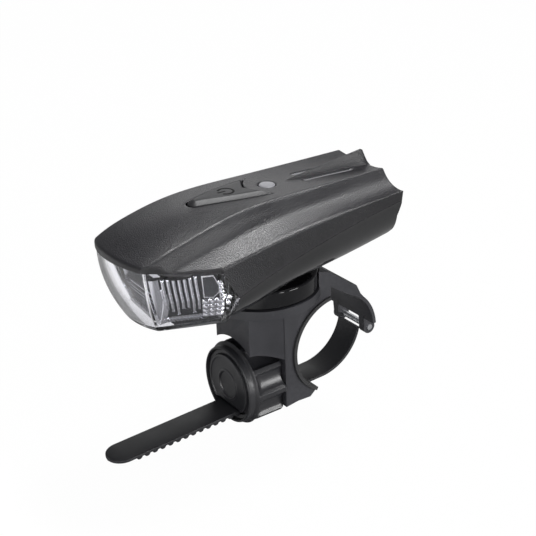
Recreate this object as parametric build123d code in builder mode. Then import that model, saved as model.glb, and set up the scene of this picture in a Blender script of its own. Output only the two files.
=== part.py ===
from build123d import *

import os
from collections import namedtuple
from math import cos, hypot, radians, sin, sqrt, tan

# A bicycle front light on a strap-on handlebar bracket, in millimetres.
# Origin: centre of the handlebar clamp, on the bar's axis.
# +X runs along the bar, -Y is the way the beam points, +Z is up.

os.makedirs("parts", exist_ok=True)

# Handlebar, saddle and its liner
bar_radius = 15.9
liner_thickness = 1.2
saddle_half_width = 13.0
liner_overhang = 0.8
saddle_lower_end_deg = 241.0
seat_plane_z = 21.4
seat_flange_radius = 18.8
seat_flange_thickness = 3.6
block_front_y = -31.0
block_half_width = 9.3
arm_thickness = 1.2
arm_end_deg = 4.0

# Strap and its anchor
strap_half_width = 5.2
strap_thickness = 1.6
strap_tail_end_y = -78.5
strap_slope_deg = 2.1
tooth_pitch = 2.8
tooth_height = 0.7
tooth_half_width = 4.5
tooth_end_margin = 7.0
anchor_pin_radius = 1.0
anchor_eye_radius = 2.3
ear_width = 2.6

# Tightening knob
knob_axis_z = -9.7
knob_front_y = -34.0
knob_length = 13.7
knob_rim_radius = 12.8
knob_grip_radius = 14.0
knob_rim_length = 2.6
knob_bore_radius = 11.3
knob_thread_depth = 0.5
knob_flute_count = 10
knob_flute_radius = 2.6
knob_flute_depth = 1.6
knob_pocket_clearance = 2.0
cap_radius = 11.7
cap_thickness = 1.8
cap_recess_radius = 4.6
cap_recess_depth = 0.5

# Turntable that carries the light
turntable_radius = 18.2
turntable_y = -19.6
turntable_height = 5.8
hub_radius = 6.0
hub_length = 4.0
pivot_screw_radius = 2.0
pivot_screw_length = 13.0
pivot_head_radius = 3.4
pivot_head_height = 1.1
washer_outer_radius = 9.5
washer_inner_radius = 7.0
washer_thickness = 0.8

# Slide shoe under the light
shoe_head_half_width = 8.6
shoe_neck_half_width = 5.5
shoe_head_thickness = 1.8
shoe_length = 27.0
shoe_rear_y = -6.0
shoe_screw_spacing = 17.0
shoe_screw_radius = 1.1
shoe_screw_head_radius = 2.1
shoe_screw_head_height = 1.0
shoe_screw_length = 6.0

# Running and seating gaps
running_gap = 0.08
face_gap = 0.2
slide_gap = 0.3
moving_gap = 0.35

# Casing of the light
casing_wall = 1.8
flute_depth = 1.5
nose_y = -72.5
nose_corner_x = 13.6
nose_corner_y = -69.0
cheek_x = 21.5
cheek_y = -47.0
tail_centre_y = 23.7
tail_ridge_x = 11.0
tail_ridge_y = 21.3
tail_edge_x = 19.5
tail_edge_y = 22.3
tail_rake_start_z = 44.7
tail_rake_y = 20.4
tail_rake_end_z = 40.5
tail_chin_y = 17.6
tail_chin_z = 32.2
port_housing_half_width = 8.5
roof_lip_front_z = 44.2
roof_lip_rear_z = 41.0
lens_tip_y = -42.0
lens_tip_z = 32.4
lens_heel_y = -45.5
lens_heel_z = 23.0
seam_mid_y = -12.0
seam_mid_z = 40.2
seam_tail_y = 22.0
seam_tail_z = 45.2
drum_pocket_clearance = 0.9
drum_ceiling_gap = 0.3

# Dorsal fin and the grooves beside it
fin_start_y = -10.1
fin_apex_y = 21.6
fin_apex_z = 57.5
fin_root_half_width = 1.7
fin_tip_half_width = 0.5
groove_inner_x = 2.1
groove_outer_x = 4.2
groove_front_y = -4.5
groove_rear_y = 15.4
groove_depth = 1.0

# Power button, its switch and the indicator window
button_tip_y = -44.2
button_tip_radius = 2.4
button_rear_y = -19.9
button_rear_half_width = 7.1
button_rear_notch = 3.6
button_prong_mitre = 2.2
button_gap = 0.35
button_flange = 1.2
button_flange_thickness = 0.8
button_plateau_height = 1.0
button_plateau_inset = 1.9
button_travel = 0.8
button_stem_radius = 1.6
switch_y = -31.0
switch_side = 6.0
switch_height = 3.6
plunger_radius = 1.5
plunger_height = 3.0
window_y = -15.9
window_radius = 2.8

# Lens, reflector, emitter and heat sink
lens_wall = 2.0
lens_roof = 1.4
reflector_gap = 0.5
reflector_front_y = -60.5
reflector_rear_y = -47.3
reflector_wall = 1.2
optic_centre_z = 33.0
emitter_side = 5.0
emitter_thickness = 0.8
emitter_dome_radius = 1.8
led_board_side = 14.0
led_board_thickness = 1.6
heat_sink_half_width = 9.5
heat_sink_height = 13.0
heat_sink_plate = 1.6
heat_sink_fin_count = 5
heat_sink_fin_length = 2.4
heat_sink_fin_thickness = 1.2

# Battery, board and charging socket
cell_half_width = 14.0
cell_front_y = -35.5
cell_rear_y = 9.0
cell_bottom_z = 34.6
cell_height = 7.8
cell_corner = 1.5
cradle_rib_thickness = 1.6
foam_thickness = 0.8
foam_half_width = 9.0
board_half_width = 12.0
board_front_y = -37.0
board_step_y = 11.6
board_tongue_half_width = 5.6
board_rear_y = 19.0
board_thickness = 1.2
socket_half_width = 3.8
socket_height = 2.7
socket_length = 5.6
socket_wall = 0.4
socket_face_y = 20.4
port_plate_half_width = 6.0
port_plate_height = 6.4
port_plate_thickness = 1.5
port_plug_depth = 1.0
port_plug_half_height = 0.7
port_drop = 0.8
port_recess_y = 21.2
indicator_side = 1.6
indicator_height = 0.9
lead_radius = 0.6

# Casing screws
casing_screw_radius = 1.2
casing_screw_head_radius = 2.3
casing_screw_head_height = 1.4
casing_screw_length = 13.0
casing_boss_radius = 2.6
front_screw_x = 13.5
front_screw_y = -41.0
rear_screw_x = 11.5
rear_screw_y = 15.5
gasket_thickness = 0.8
gasket_margin = 0.5

# Places that follow from the sizes above
saddle_bore = bar_radius + liner_thickness
knob_rear_y = knob_front_y + knob_length
wall_front_y = knob_rear_y + face_gap
turntable_bottom_z = seat_plane_z + face_gap
turntable_top_z = turntable_bottom_z + turntable_height
belly_pad_z = turntable_top_z + drum_ceiling_gap
shoe_front_y = shoe_rear_y - shoe_length
shoe_mid_y = (shoe_front_y + shoe_rear_y) / 2
shoe_neck_bottom_z = turntable_top_z - 2.0
shoe_head_bottom_z = shoe_neck_bottom_z - shoe_head_thickness
cell_top_z = cell_bottom_z + cell_height
board_bottom_z = cell_top_z + foam_thickness
board_top_z = board_bottom_z + board_thickness
switch_top_z = board_top_z + switch_height
plunger_top_z = switch_top_z + plunger_height
socket_centre_z = board_bottom_z - socket_height / 2
port_hinge_z = socket_centre_z - port_plate_height / 2 - port_drop
far = 200.0

# Cross-sections of the casing, nose to tail. Each row gives, for one y: the crown's height on
# the centreline, the upper ridge, the lower edge, the seam line and the belly's edge and keel.
Station = namedtuple("Station", "y crown_z ridge_x ridge_z edge_x edge_z side_x side_z belly_x belly_z keel_z")
stations = [
    Station(-76, 46.6, 12.4, 43.4, 20.5, 36.0, 21.6, 31.0, 16.8, 23.4, 23.0),
    Station(-66, 50.6, 14.2, 47.9, 21.0, 38.8, 21.8, 31.4, 17.0, 23.8, 23.3),
    Station(-56, 53.4, 14.5, 50.9, 21.4, 41.2, 22.0, 31.8, 17.2, 24.1, 23.5),
    Station(-46, 55.0, 14.0, 53.1, 21.7, 43.1, 22.0, 32.2, 17.3, 24.5, 23.8),
    Station(-34, 55.3, 12.5, 54.6, 21.9, 45.3, 21.4, 34.8, 17.3, 26.2, 25.4),
    Station(-20, 54.7, 11.4, 54.8, 21.5, 46.9, 20.9, 38.4, 17.0, 28.9, 27.9),
    Station(0, 53.7, 11.2, 54.4, 20.7, 48.1, 20.2, 42.2, 16.4, 31.3, 30.3),
    Station(28, 51.7, 11.0, 54.0, 19.3, 48.7, 18.8, 45.6, 15.2, 34.9, 33.8),
]


# Helpers for the casing's form
def inset(station, depth):
    """The same cross-section, moved inwards by a wall's depth."""
    return station._replace(
        crown_z=station.crown_z - depth,
        ridge_x=station.ridge_x - depth * 0.8,
        ridge_z=station.ridge_z - depth,
        edge_x=station.edge_x - depth,
        edge_z=station.edge_z - depth * 0.3,
        side_x=station.side_x - depth,
        belly_x=station.belly_x - depth,
        belly_z=station.belly_z + depth,
        keel_z=station.keel_z + depth,
    )


def casing_form(depth):
    """The whole casing as one smooth body through its cross-sections, moved in by a depth."""
    with BuildPart() as form:
        for whole in stations:
            s = inset(whole, depth)
            chord_x, chord_z = s.edge_x - s.ridge_x, s.edge_z - s.ridge_z
            chord = hypot(chord_x, chord_z)
            flute_x = (s.ridge_x + s.edge_x) / 2 + flute_depth * chord_z / chord
            flute_z = (s.ridge_z + s.edge_z) / 2 - flute_depth * chord_x / chord
            bulge_x = s.belly_x + (s.side_x - s.belly_x) * 0.82
            bulge_z = s.belly_z + (s.side_z - s.belly_z) * 0.42
            with BuildSketch(Plane.XZ.offset(-s.y)):
                with BuildLine():
                    Spline((-s.ridge_x, s.ridge_z), (0, s.crown_z), (s.ridge_x, s.ridge_z))
                    Spline((s.ridge_x, s.ridge_z), (flute_x, flute_z), (s.edge_x, s.edge_z))
                    Line((s.edge_x, s.edge_z), (s.side_x, s.side_z))
                    Spline((s.side_x, s.side_z), (bulge_x, bulge_z), (s.belly_x, s.belly_z))
                    Spline((s.belly_x, s.belly_z), (0, s.keel_z), (-s.belly_x, s.belly_z))
                    Spline((-s.belly_x, s.belly_z), (-bulge_x, bulge_z), (-s.side_x, s.side_z))
                    Line((-s.side_x, s.side_z), (-s.edge_x, s.edge_z))
                    Spline((-s.edge_x, s.edge_z), (-flute_x, flute_z), (-s.ridge_x, s.ridge_z))
                make_face()
        loft(ruled=True)
    return form.part


def plan_face(z, depth, nose, corner_x, corner_y, side_x, side_y, rear_y):
    """The casing's plan at one height: a bowed nose, straight cheeks and an open rear."""
    with BuildSketch(Plane.XY.offset(z)) as plan:
        with BuildLine():
            ThreePointArc((-corner_x + depth, corner_y + depth), (0, nose + depth), (corner_x - depth, corner_y + depth))
            Polyline((corner_x - depth, corner_y + depth), (side_x - depth, side_y + depth), (side_x - depth, rear_y),
                     (-side_x + depth, rear_y), (-side_x + depth, side_y + depth), (-corner_x + depth, corner_y + depth))
        make_face()
    return plan.sketch


def roof_plan(depth):
    """The casing's plan seen from above, as a tall prism: bowed nose, wide body, notched tail."""
    wide = cheek_x + 4
    with BuildPart() as prism:
        with BuildSketch(Plane.XY):
            with BuildLine():
                ThreePointArc((-nose_corner_x + depth, nose_corner_y + depth), (0, nose_y + depth),
                              (nose_corner_x - depth, nose_corner_y + depth))
                Polyline((nose_corner_x - depth, nose_corner_y + depth), (cheek_x - depth * 0.6, cheek_y + depth),
                         (wide, cheek_y + 6), (wide, tail_edge_y - depth), (tail_edge_x, tail_edge_y - depth),
                         (tail_ridge_x, tail_ridge_y - depth), (0, tail_centre_y - depth),
                         (-tail_ridge_x, tail_ridge_y - depth), (-tail_edge_x, tail_edge_y - depth),
                         (-wide, tail_edge_y - depth), (-wide, cheek_y + 6),
                         (-cheek_x + depth * 0.6, cheek_y + depth), (-nose_corner_x + depth, nose_corner_y + depth))
            make_face()
        extrude(amount=far)
    return prism.part


def side_prism(points):
    """A side-view outline carried right through the light, from left to right."""
    with BuildPart() as prism:
        with BuildSketch(Plane.YZ):
            with BuildLine():
                Polyline(*points, close=True)
            make_face()
        extrude(amount=far / 2, both=True)
    return prism.part


def roof_lip_z(y):
    """Height of the roof's lower lip above the lens."""
    share = (y - cheek_y) / (nose_corner_y - cheek_y)
    return roof_lip_rear_z + share * (roof_lip_front_z - roof_lip_rear_z)


def seam_prism(shift, above):
    """Everything above, or below, the seam between the two shells, which is an arc seen from the side."""
    rise = (seam_tail_z - seam_mid_z) / (seam_tail_y - seam_mid_y)
    front_y, rear_y = lens_tip_y, tail_centre_y + 10
    rear_z = seam_tail_z + rise * (rear_y - seam_tail_y) + shift
    limit_z = far / 2 if above else -far / 2
    with BuildPart() as prism:
        with BuildSketch(Plane.YZ):
            with BuildLine():
                ThreePointArc((front_y, lens_tip_z + shift), (seam_mid_y, seam_mid_z + shift), (seam_tail_y, seam_tail_z + shift))
                Polyline((seam_tail_y, seam_tail_z + shift), (rear_y, rear_z), (rear_y, limit_z),
                         (front_y, limit_z), (front_y, lens_tip_z + shift))
            make_face()
        extrude(amount=far / 2, both=True)
    return prism.part


# Whole forms that the shells are cut from
outer_form = casing_form(0) & roof_plan(0)
inner_form = casing_form(casing_wall) & roof_plan(casing_wall)
rake_region = side_prism([(far, tail_rake_start_z), (tail_edge_y + 0.1, tail_rake_start_z), (tail_rake_y, tail_rake_end_z),
                          (tail_rake_y, tail_chin_z + 3.2), (tail_chin_y, tail_chin_z), (tail_chin_y - 2.5, 0), (far, 0)])
chin_region = side_prism([(far, tail_chin_z + 4.8), (tail_centre_y, tail_chin_z + 4.8), (tail_chin_y, tail_chin_z),
                          (tail_chin_y - 2.5, 0), (far, 0)])
for side in (1, -1):
    tail_side = side * (port_housing_half_width + far / 2)
    with BuildPart() as tail_corner:
        with BuildSketch(Plane.XY):
            with Locations((tail_side, 0)):
                Rectangle(far, far)
        extrude(amount=tail_rake_start_z)
    outer_form = outer_form - (rake_region & tail_corner.part)
    with BuildPart() as inner_corner:
        with BuildSketch(Plane.XY):
            with Locations((tail_side, tail_rake_y - casing_wall + far / 2)):
                Rectangle(far, far)
        extrude(amount=tail_rake_start_z + 0.5)
    inner_form = inner_form - inner_corner.part
outer_form = outer_form - chin_region
front_limit_y = nose_y - 10
lens_region = side_prism([(front_limit_y, roof_lip_z(front_limit_y)), (cheek_y, roof_lip_rear_z), (lens_tip_y, lens_tip_z),
                          (lens_heel_y, lens_heel_z), (lens_heel_y, 0), (front_limit_y, 0)])
roof_region = side_prism([(front_limit_y, roof_lip_z(front_limit_y)), (cheek_y, roof_lip_rear_z), (lens_tip_y, lens_tip_z),
                          (lens_tip_y, far / 2), (front_limit_y, far / 2)])
heel_region = side_prism([(lens_tip_y, lens_tip_z), (lens_heel_y, lens_heel_z), (lens_heel_y, 0), (lens_tip_y, 0)])


def lens_form(depth):
    """The lens's raked front: the roof's plan at the top, drawn in towards the bottom."""
    levels = [
        (roof_lip_front_z + 1.5, nose_y + 0.3, nose_corner_x - 0.2, nose_corner_y + 0.3, cheek_x - 0.3, cheek_y - 0.2),
        (lens_tip_z + 0.6, nose_y + 2.3, nose_corner_x - 1.0, nose_corner_y + 2.2, cheek_x + 0.4, cheek_y + 0.5),
        (lens_heel_z - 1.5, nose_y + 8.4, nose_corner_x - 4.3, nose_corner_y + 6.8, cheek_x - 4.5, cheek_y + 1.0),
    ]
    with BuildPart() as form:
        for z, nose, corner_x, corner_y, side_x, side_y in levels:
            add(plan_face(z, depth, nose, corner_x, corner_y, side_x, side_y, lens_tip_y + 4))
        loft()
    return form.part


# Outlines of the button, in plan
def button_outline(grow):
    """Rounded tip at the front, flared to two prongs with a notch between them at the rear."""
    tip_radius = button_tip_radius + grow
    tip_centre_y = button_tip_y + button_tip_radius
    rear_y = button_rear_y + grow * button_prong_mitre
    rear_x = button_rear_half_width + grow
    notch_y = button_rear_y - button_rear_notch + grow
    flank_x = tip_radius * 0.97
    flank_y = tip_centre_y - tip_radius * 0.24
    with BuildSketch(Plane.XY) as outline:
        with BuildLine():
            ThreePointArc((-flank_x, flank_y), (0, tip_centre_y - tip_radius), (flank_x, flank_y))
            ThreePointArc((flank_x, flank_y), (flank_x + (rear_x - flank_x) * 0.62, (flank_y + rear_y) / 2), (rear_x, rear_y))
            ThreePointArc((rear_x, rear_y), (0, notch_y), (-rear_x, rear_y))
            ThreePointArc((-rear_x, rear_y), (-flank_x - (rear_x - flank_x) * 0.62, (flank_y + rear_y) / 2), (-flank_x, flank_y))
        make_face()
    return outline.sketch



# The seam's arc and the underside's height, wherever a piece needs them
def seam_z(y):
    """Height of the seam between the shells at one y, on the arc through its three points."""
    ax, az, bx, bz, cx, cz = lens_tip_y, lens_tip_z, seam_mid_y, seam_mid_z, seam_tail_y, seam_tail_z
    d = 2 * (ax * (bz - cz) + bx * (cz - az) + cx * (az - bz))
    a2, b2, c2 = ax ** 2 + az ** 2, bx ** 2 + bz ** 2, cx ** 2 + cz ** 2
    centre_y = (a2 * (bz - cz) + b2 * (cz - az) + c2 * (az - bz)) / d
    centre_z = (a2 * (cx - bx) + b2 * (ax - cx) + c2 * (bx - ax)) / d
    radius = hypot(ax - centre_y, az - centre_z)
    return centre_z + sqrt(radius ** 2 - (y - centre_y) ** 2)


def station_value(name, y):
    """One column of the cross-sections, read between its stations."""
    for front, back in zip(stations, stations[1:]):
        if front.y <= y <= back.y:
            share = (y - front.y) / (back.y - front.y)
            return getattr(front, name) + share * (getattr(back, name) - getattr(front, name))
    return getattr(stations[-1], name)


def upright(x, y, radius, low_z, high_z):
    """A plain upright cylinder."""
    with BuildPart() as rod:
        with BuildSketch(Plane.XY.offset(low_z)):
            with Locations((x, y)):
                Circle(radius)
        extrude(amount=high_z - low_z)
    return rod.part


def block(low, high):
    """A plain block between two corners."""
    with BuildPart() as brick:
        with BuildSketch(Plane.XY.offset(low[2])):
            with Locations(((low[0] + high[0]) / 2, (low[1] + high[1]) / 2)):
                Rectangle(high[0] - low[0], high[1] - low[1])
        extrude(amount=high[2] - low[2])
    return brick.part


def crossbar(y, z, radius, low_x, high_x):
    """A plain cylinder along the handlebar's direction."""
    with BuildPart() as rod:
        with BuildSketch(Plane.YZ.offset(low_x)):
            with Locations((y, z)):
                Circle(radius)
        extrude(amount=high_x - low_x)
    return rod.part


def beamwise(radius, front_y, rear_y):
    """A cylinder on the knob's axis."""
    with BuildPart() as rod:
        with BuildSketch(Plane.XZ.offset(-rear_y)):
            with Locations((0, knob_axis_z)):
                Circle(radius)
        extrude(amount=rear_y - front_y)
    return rod.part


above_seam = seam_prism(0, True) + roof_region
below_seam = seam_prism(0, False) + heel_region
roof_skin = outer_form - inner_form
screw_places = [(side * x, y) for x, y in ((front_screw_x, front_screw_y), (rear_screw_x, rear_screw_y)) for side in (1, -1)]


def screw_seat_z(y):
    """Where a casing screw's head bears, above the casing's underside."""
    return station_value("keel_z", y) + casing_wall + casing_screw_head_height


# Seal between the shells: a thin band in the middle of the wall, all along the seam
with BuildPart() as shell_gasket:
    add(casing_form(gasket_margin) & roof_plan(gasket_margin))
    add(casing_form(casing_wall - gasket_margin) & roof_plan(casing_wall - gasket_margin), mode=Mode.SUBTRACT)
    add(seam_prism(gasket_thickness / 2, False), mode=Mode.INTERSECT)
    add(seam_prism(-gasket_thickness / 2, True), mode=Mode.INTERSECT)

# Power button: part of the roof's skin, so that its top lies flush, with a flange under the roof
button_crown_z = station_value("crown_z", switch_y)


def button_slab(top, bottom, grow):
    """The button's outline cut out of the skin between two depths below the roof's surface."""
    with BuildPart() as slab:
        with BuildSketch(Plane.XY.offset(button_crown_z - 8)):
            add(button_outline(grow))
        extrude(amount=16)
        add(casing_form(top), mode=Mode.INTERSECT)
        add(casing_form(bottom), mode=Mode.SUBTRACT)
    return slab.part


with BuildPart() as power_button:
    add(button_slab(0, casing_wall + slide_gap + button_flange_thickness, 0))
    add(button_slab(casing_wall + slide_gap, casing_wall + slide_gap + button_flange_thickness, button_flange))
    with BuildSketch(Plane.XY.offset(button_crown_z - casing_wall)):
        add(button_outline(-button_plateau_inset))
    extrude(amount=casing_wall + button_plateau_height)
    add(upright(0, switch_y, button_stem_radius, plunger_top_z, button_crown_z - 1))

# Indicator window: a clear plug flush with the roof, with a light pipe down towards the board
window_crown_z = station_value("crown_z", window_y)
pipe_bottom_z = board_top_z + indicator_height + slide_gap
with BuildPart() as indicator_window:
    add(roof_skin & upright(0, window_y, window_radius, window_crown_z - 8, window_crown_z + 8))
    add(upright(0, window_y, window_radius * 0.6, pipe_bottom_z, window_crown_z - casing_wall / 2))


# Fin on the centreline: a wedge in plan that also rises towards the tail
def fin_form():
    """The fin's wedge, down into the roof."""
    root_z = station_value("crown_z", tail_ridge_y) - casing_wall * 0.6
    start_z = station_value("crown_z", fin_start_y)
    with BuildPart() as fin:
        with BuildSketch(Plane.YZ):
            with BuildLine():
                Polyline((fin_start_y, start_z), (fin_apex_y, fin_apex_z), (tail_centre_y - 0.3, root_z + casing_wall),
                         (tail_centre_y - 0.3, root_z), (fin_start_y, root_z), close=True)
            make_face()
        extrude(amount=fin_root_half_width, both=True)
        with BuildSketch(Plane.XZ.offset(-tail_centre_y)):
            with BuildLine():
                Polyline((-fin_root_half_width, root_z), (fin_root_half_width, root_z), (fin_root_half_width, root_z + 2),
                         (fin_tip_half_width, fin_apex_z + 0.5), (-fin_tip_half_width, fin_apex_z + 0.5),
                         (-fin_root_half_width, root_z + 2), close=True)
            make_face()
        extrude(amount=tail_centre_y - fin_start_y + 1, mode=Mode.INTERSECT)
        with BuildSketch(Plane.XY.offset(root_z)):
            with BuildLine():
                Polyline((0, fin_start_y), (fin_root_half_width, tail_ridge_y - 3), (fin_root_half_width, tail_centre_y),
                         (-fin_root_half_width, tail_centre_y), (-fin_root_half_width, tail_ridge_y - 3), close=True)
            make_face()
        extrude(amount=fin_apex_z - root_z + 1, mode=Mode.INTERSECT)
    return fin.part


# Top shell: roof, side walls down to the seam, fin, grooves, screw bosses
with BuildPart() as top_shell:
    add(roof_skin)
    for x, y in screw_places:
        add(upright(x, y, casing_boss_radius, seam_z(y) - 4, station_value("ridge_z", y)) & outer_form)
    add(above_seam, mode=Mode.INTERSECT)
    add(fin_form())
    for side in (1, -1):
        groove = block((min(side * groove_inner_x, side * groove_outer_x), groove_front_y, seam_z(groove_front_y)),
                       (max(side * groove_inner_x, side * groove_outer_x), groove_rear_y, far / 2))
        add(groove - casing_form(groove_depth), mode=Mode.SUBTRACT)
    with BuildSketch(Plane.XY.offset(seam_z(button_rear_y))):
        add(button_outline(button_gap))
    extrude(amount=far / 4, mode=Mode.SUBTRACT)
    add(upright(0, window_y, window_radius, seam_z(window_y), far / 2), mode=Mode.SUBTRACT)
    for x, y in screw_places:
        add(upright(x, y, casing_screw_radius, 0, screw_seat_z(y) + casing_screw_length), mode=Mode.SUBTRACT)
    add(shell_gasket.part, mode=Mode.SUBTRACT)

# Bottom shell: belly and lower sides, with the turntable's pocket, the shoe's pad and the port
drum_pocket_radius = turntable_radius + drum_pocket_clearance
port_half_width = port_plate_half_width + moving_gap
port_low_z, port_high_z = port_hinge_z - moving_gap, port_hinge_z + port_plate_height + moving_gap
socket_hole = socket_height / 2 + slide_gap
with BuildPart() as bottom_shell:
    add(roof_skin)
    for x, y in screw_places:
        add(upright(x, y, casing_boss_radius + 0.8, station_value("keel_z", y), seam_z(y) + 4) & outer_form)
    add(upright(0, turntable_y, drum_pocket_radius + casing_wall, belly_pad_z - 6, belly_pad_z + casing_wall) & outer_form)
    for y in (cell_front_y + 7, cell_rear_y - 7):
        add(block((-cell_half_width + 1, y - cradle_rib_thickness / 2, station_value("keel_z", y) + 1),
                  (cell_half_width - 1, y + cradle_rib_thickness / 2, cell_bottom_z)) & outer_form)
    add(block((-port_half_width - 1.5, socket_face_y - 0.6, port_low_z - 1.5),
              (port_half_width + 1.5, tail_centre_y, port_high_z + 1.5)) & outer_form)
    add(below_seam, mode=Mode.INTERSECT)
    add(block((-shoe_neck_half_width - 1.5, shoe_front_y, belly_pad_z),
              (shoe_neck_half_width + 1.5, shoe_rear_y, station_value("keel_z", shoe_rear_y) + casing_wall)))
    add(upright(0, turntable_y, drum_pocket_radius, 0, belly_pad_z), mode=Mode.SUBTRACT)
    add(block((-port_half_width, port_recess_y, port_low_z), (port_half_width, far / 2, port_high_z)), mode=Mode.SUBTRACT)
    add(block((-socket_half_width - slide_gap, socket_face_y - 3, socket_centre_z - socket_hole),
              (socket_half_width + slide_gap, far / 2, socket_centre_z + socket_hole)), mode=Mode.SUBTRACT)
    for x, y in screw_places:
        add(upright(x, y, casing_screw_radius + running_gap, 0, far / 2), mode=Mode.SUBTRACT)
        add(upright(x, y, casing_screw_head_radius + 0.15, 0, screw_seat_z(y)), mode=Mode.SUBTRACT)
    for side in (1, -1):
        y = shoe_mid_y + side * shoe_screw_spacing / 2
        add(upright(0, y, shoe_screw_radius, 0, shoe_head_bottom_z + shoe_screw_head_height + shoe_screw_length), mode=Mode.SUBTRACT)
    add(shell_gasket.part, mode=Mode.SUBTRACT)

# Casing screws, driven from below
with BuildPart() as casing_screws:
    for x, y in screw_places:
        seat = screw_seat_z(y)
        add(upright(x, y, casing_screw_head_radius, seat - casing_screw_head_height, seat))
        add(upright(x, y, casing_screw_radius, seat, seat + casing_screw_length))
        add(upright(x, y, casing_screw_radius * 0.7, seat - casing_screw_head_height, seat - casing_screw_head_height * 0.45),
            mode=Mode.SUBTRACT)

# Lens: raked front, cheeks that run back to a point, floor and roof, open at the rear
lens_void_line = [(front_limit_y, roof_lip_z(front_limit_y) - lens_roof), (cheek_y, roof_lip_rear_z - lens_roof),
                  (lens_tip_y + 4, roof_lip_rear_z - lens_roof), (lens_tip_y + 4, 0), (front_limit_y, 0)]
with BuildPart() as lens:
    add(outer_form & lens_form(0) & lens_region)
    add(casing_form(lens_wall) & lens_form(lens_wall) & side_prism(lens_void_line), mode=Mode.SUBTRACT)
    add(block((-cheek_x + lens_wall + 1, cheek_y - 1, lens_heel_z + lens_wall + 1),
              (cheek_x - lens_wall - 1, lens_tip_y + 1, roof_lip_front_z)), mode=Mode.SUBTRACT)

# Reflector: fills the lens, with a bowl that opens forwards and two side pockets
reflector_depth = lens_wall + reflector_gap
with BuildPart() as reflector:
    add(casing_form(reflector_depth) & lens_form(reflector_depth))
    add(side_prism([(reflector_front_y, roof_lip_z(reflector_front_y) - lens_roof - reflector_gap),
                    (reflector_rear_y, roof_lip_z(reflector_rear_y) - lens_roof - reflector_gap),
                    (reflector_rear_y, 0), (reflector_front_y, 0)]), mode=Mode.INTERSECT)
    with BuildSketch(Plane.XZ.offset(-reflector_rear_y)):
        with Locations((0, optic_centre_z)):
            Rectangle(led_board_side * 0.6, led_board_side * 0.6)
    with BuildSketch(Plane.XZ.offset(-reflector_front_y + 0.5)):
        with Locations((0, optic_centre_z)):
            Rectangle(nose_corner_x * 1.7, (roof_lip_front_z - lens_heel_z) * 0.68)
    loft(mode=Mode.SUBTRACT)
    for side in (1, -1):
        pocket_x = nose_corner_x * 0.85 + reflector_wall
        pocket = block((min(side * pocket_x, side * (pocket_x + 2.6)), reflector_front_y - 1, optic_centre_z - 4.5),
                       (max(side * pocket_x, side * (pocket_x + 2.6)), reflector_rear_y - reflector_wall, optic_centre_z + 4.5))
        add(pocket, mode=Mode.SUBTRACT)

# Emitter, its board and the heat sink behind it
led_board_rear_y = reflector_rear_y + led_board_thickness
with BuildPart() as led_board:
    add(block((-led_board_side / 2, reflector_rear_y, optic_centre_z - led_board_side / 2),
              (led_board_side / 2, led_board_rear_y, optic_centre_z + led_board_side / 2)))

with BuildPart() as led_emitter:
    add(block((-emitter_side / 2, reflector_rear_y - emitter_thickness, optic_centre_z - emitter_side / 2),
              (emitter_side / 2, reflector_rear_y, optic_centre_z + emitter_side / 2)))
    with BuildSketch(Plane.YZ):
        with BuildLine():
            Line((reflector_rear_y - emitter_thickness, optic_centre_z),
                 (reflector_rear_y - emitter_thickness - emitter_dome_radius, optic_centre_z))
            RadiusArc((reflector_rear_y - emitter_thickness - emitter_dome_radius, optic_centre_z),
                      (reflector_rear_y - emitter_thickness, optic_centre_z + emitter_dome_radius), emitter_dome_radius)
            Line((reflector_rear_y - emitter_thickness, optic_centre_z + emitter_dome_radius),
                 (reflector_rear_y - emitter_thickness, optic_centre_z))
        make_face()
    revolve(axis=Axis((0, 0, optic_centre_z), (0, 1, 0)))

sink_bottom_z = station_value("keel_z", led_board_rear_y) + lens_wall + 1 + slide_gap
with BuildPart() as heat_sink:
    add(block((-heat_sink_half_width, led_board_rear_y, sink_bottom_z),
              (heat_sink_half_width, led_board_rear_y + heat_sink_plate, sink_bottom_z + heat_sink_height)))
    for index in range(heat_sink_fin_count):
        x = (index - (heat_sink_fin_count - 1) / 2) * (2 * heat_sink_half_width - heat_sink_fin_thickness) / (heat_sink_fin_count - 1)
        add(block((x - heat_sink_fin_thickness / 2, led_board_rear_y + heat_sink_plate, sink_bottom_z),
                  (x + heat_sink_fin_thickness / 2, led_board_rear_y + heat_sink_plate + heat_sink_fin_length,
                   sink_bottom_z + heat_sink_height)))

# Battery cell on its cradle, the foam that holds the board off it, and the board
with BuildPart() as battery_cell:
    add(block((-cell_half_width, cell_front_y, cell_bottom_z), (cell_half_width, cell_rear_y, cell_top_z)))
    fillet(battery_cell.edges().filter_by(Axis.Y), cell_corner)

with BuildPart() as cell_foam:
    add(block((-foam_half_width, cell_front_y + 3, cell_top_z), (foam_half_width, cell_rear_y - 3, board_bottom_z)))

with BuildPart() as circuit_board:
    add(block((-board_half_width, board_front_y, board_bottom_z), (board_half_width, board_step_y, board_top_z)))
    add(block((-board_tongue_half_width, board_step_y, board_bottom_z), (board_tongue_half_width, board_rear_y, board_top_z)))

with BuildPart() as tact_switch:
    add(block((-switch_side / 2, switch_y - switch_side / 2, board_top_z), (switch_side / 2, switch_y + switch_side / 2, switch_top_z)))
    add(upright(0, switch_y, plunger_radius + running_gap, switch_top_z - button_travel - 0.4, switch_top_z), mode=Mode.SUBTRACT)

with BuildPart() as switch_plunger:
    add(upright(0, switch_y, plunger_radius, switch_top_z - 0.3, plunger_top_z))

with BuildPart() as indicator_led:
    add(block((-indicator_side / 2, window_y - indicator_side / 2, board_top_z),
              (indicator_side / 2, window_y + indicator_side / 2, board_top_z + indicator_height)))

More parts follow.
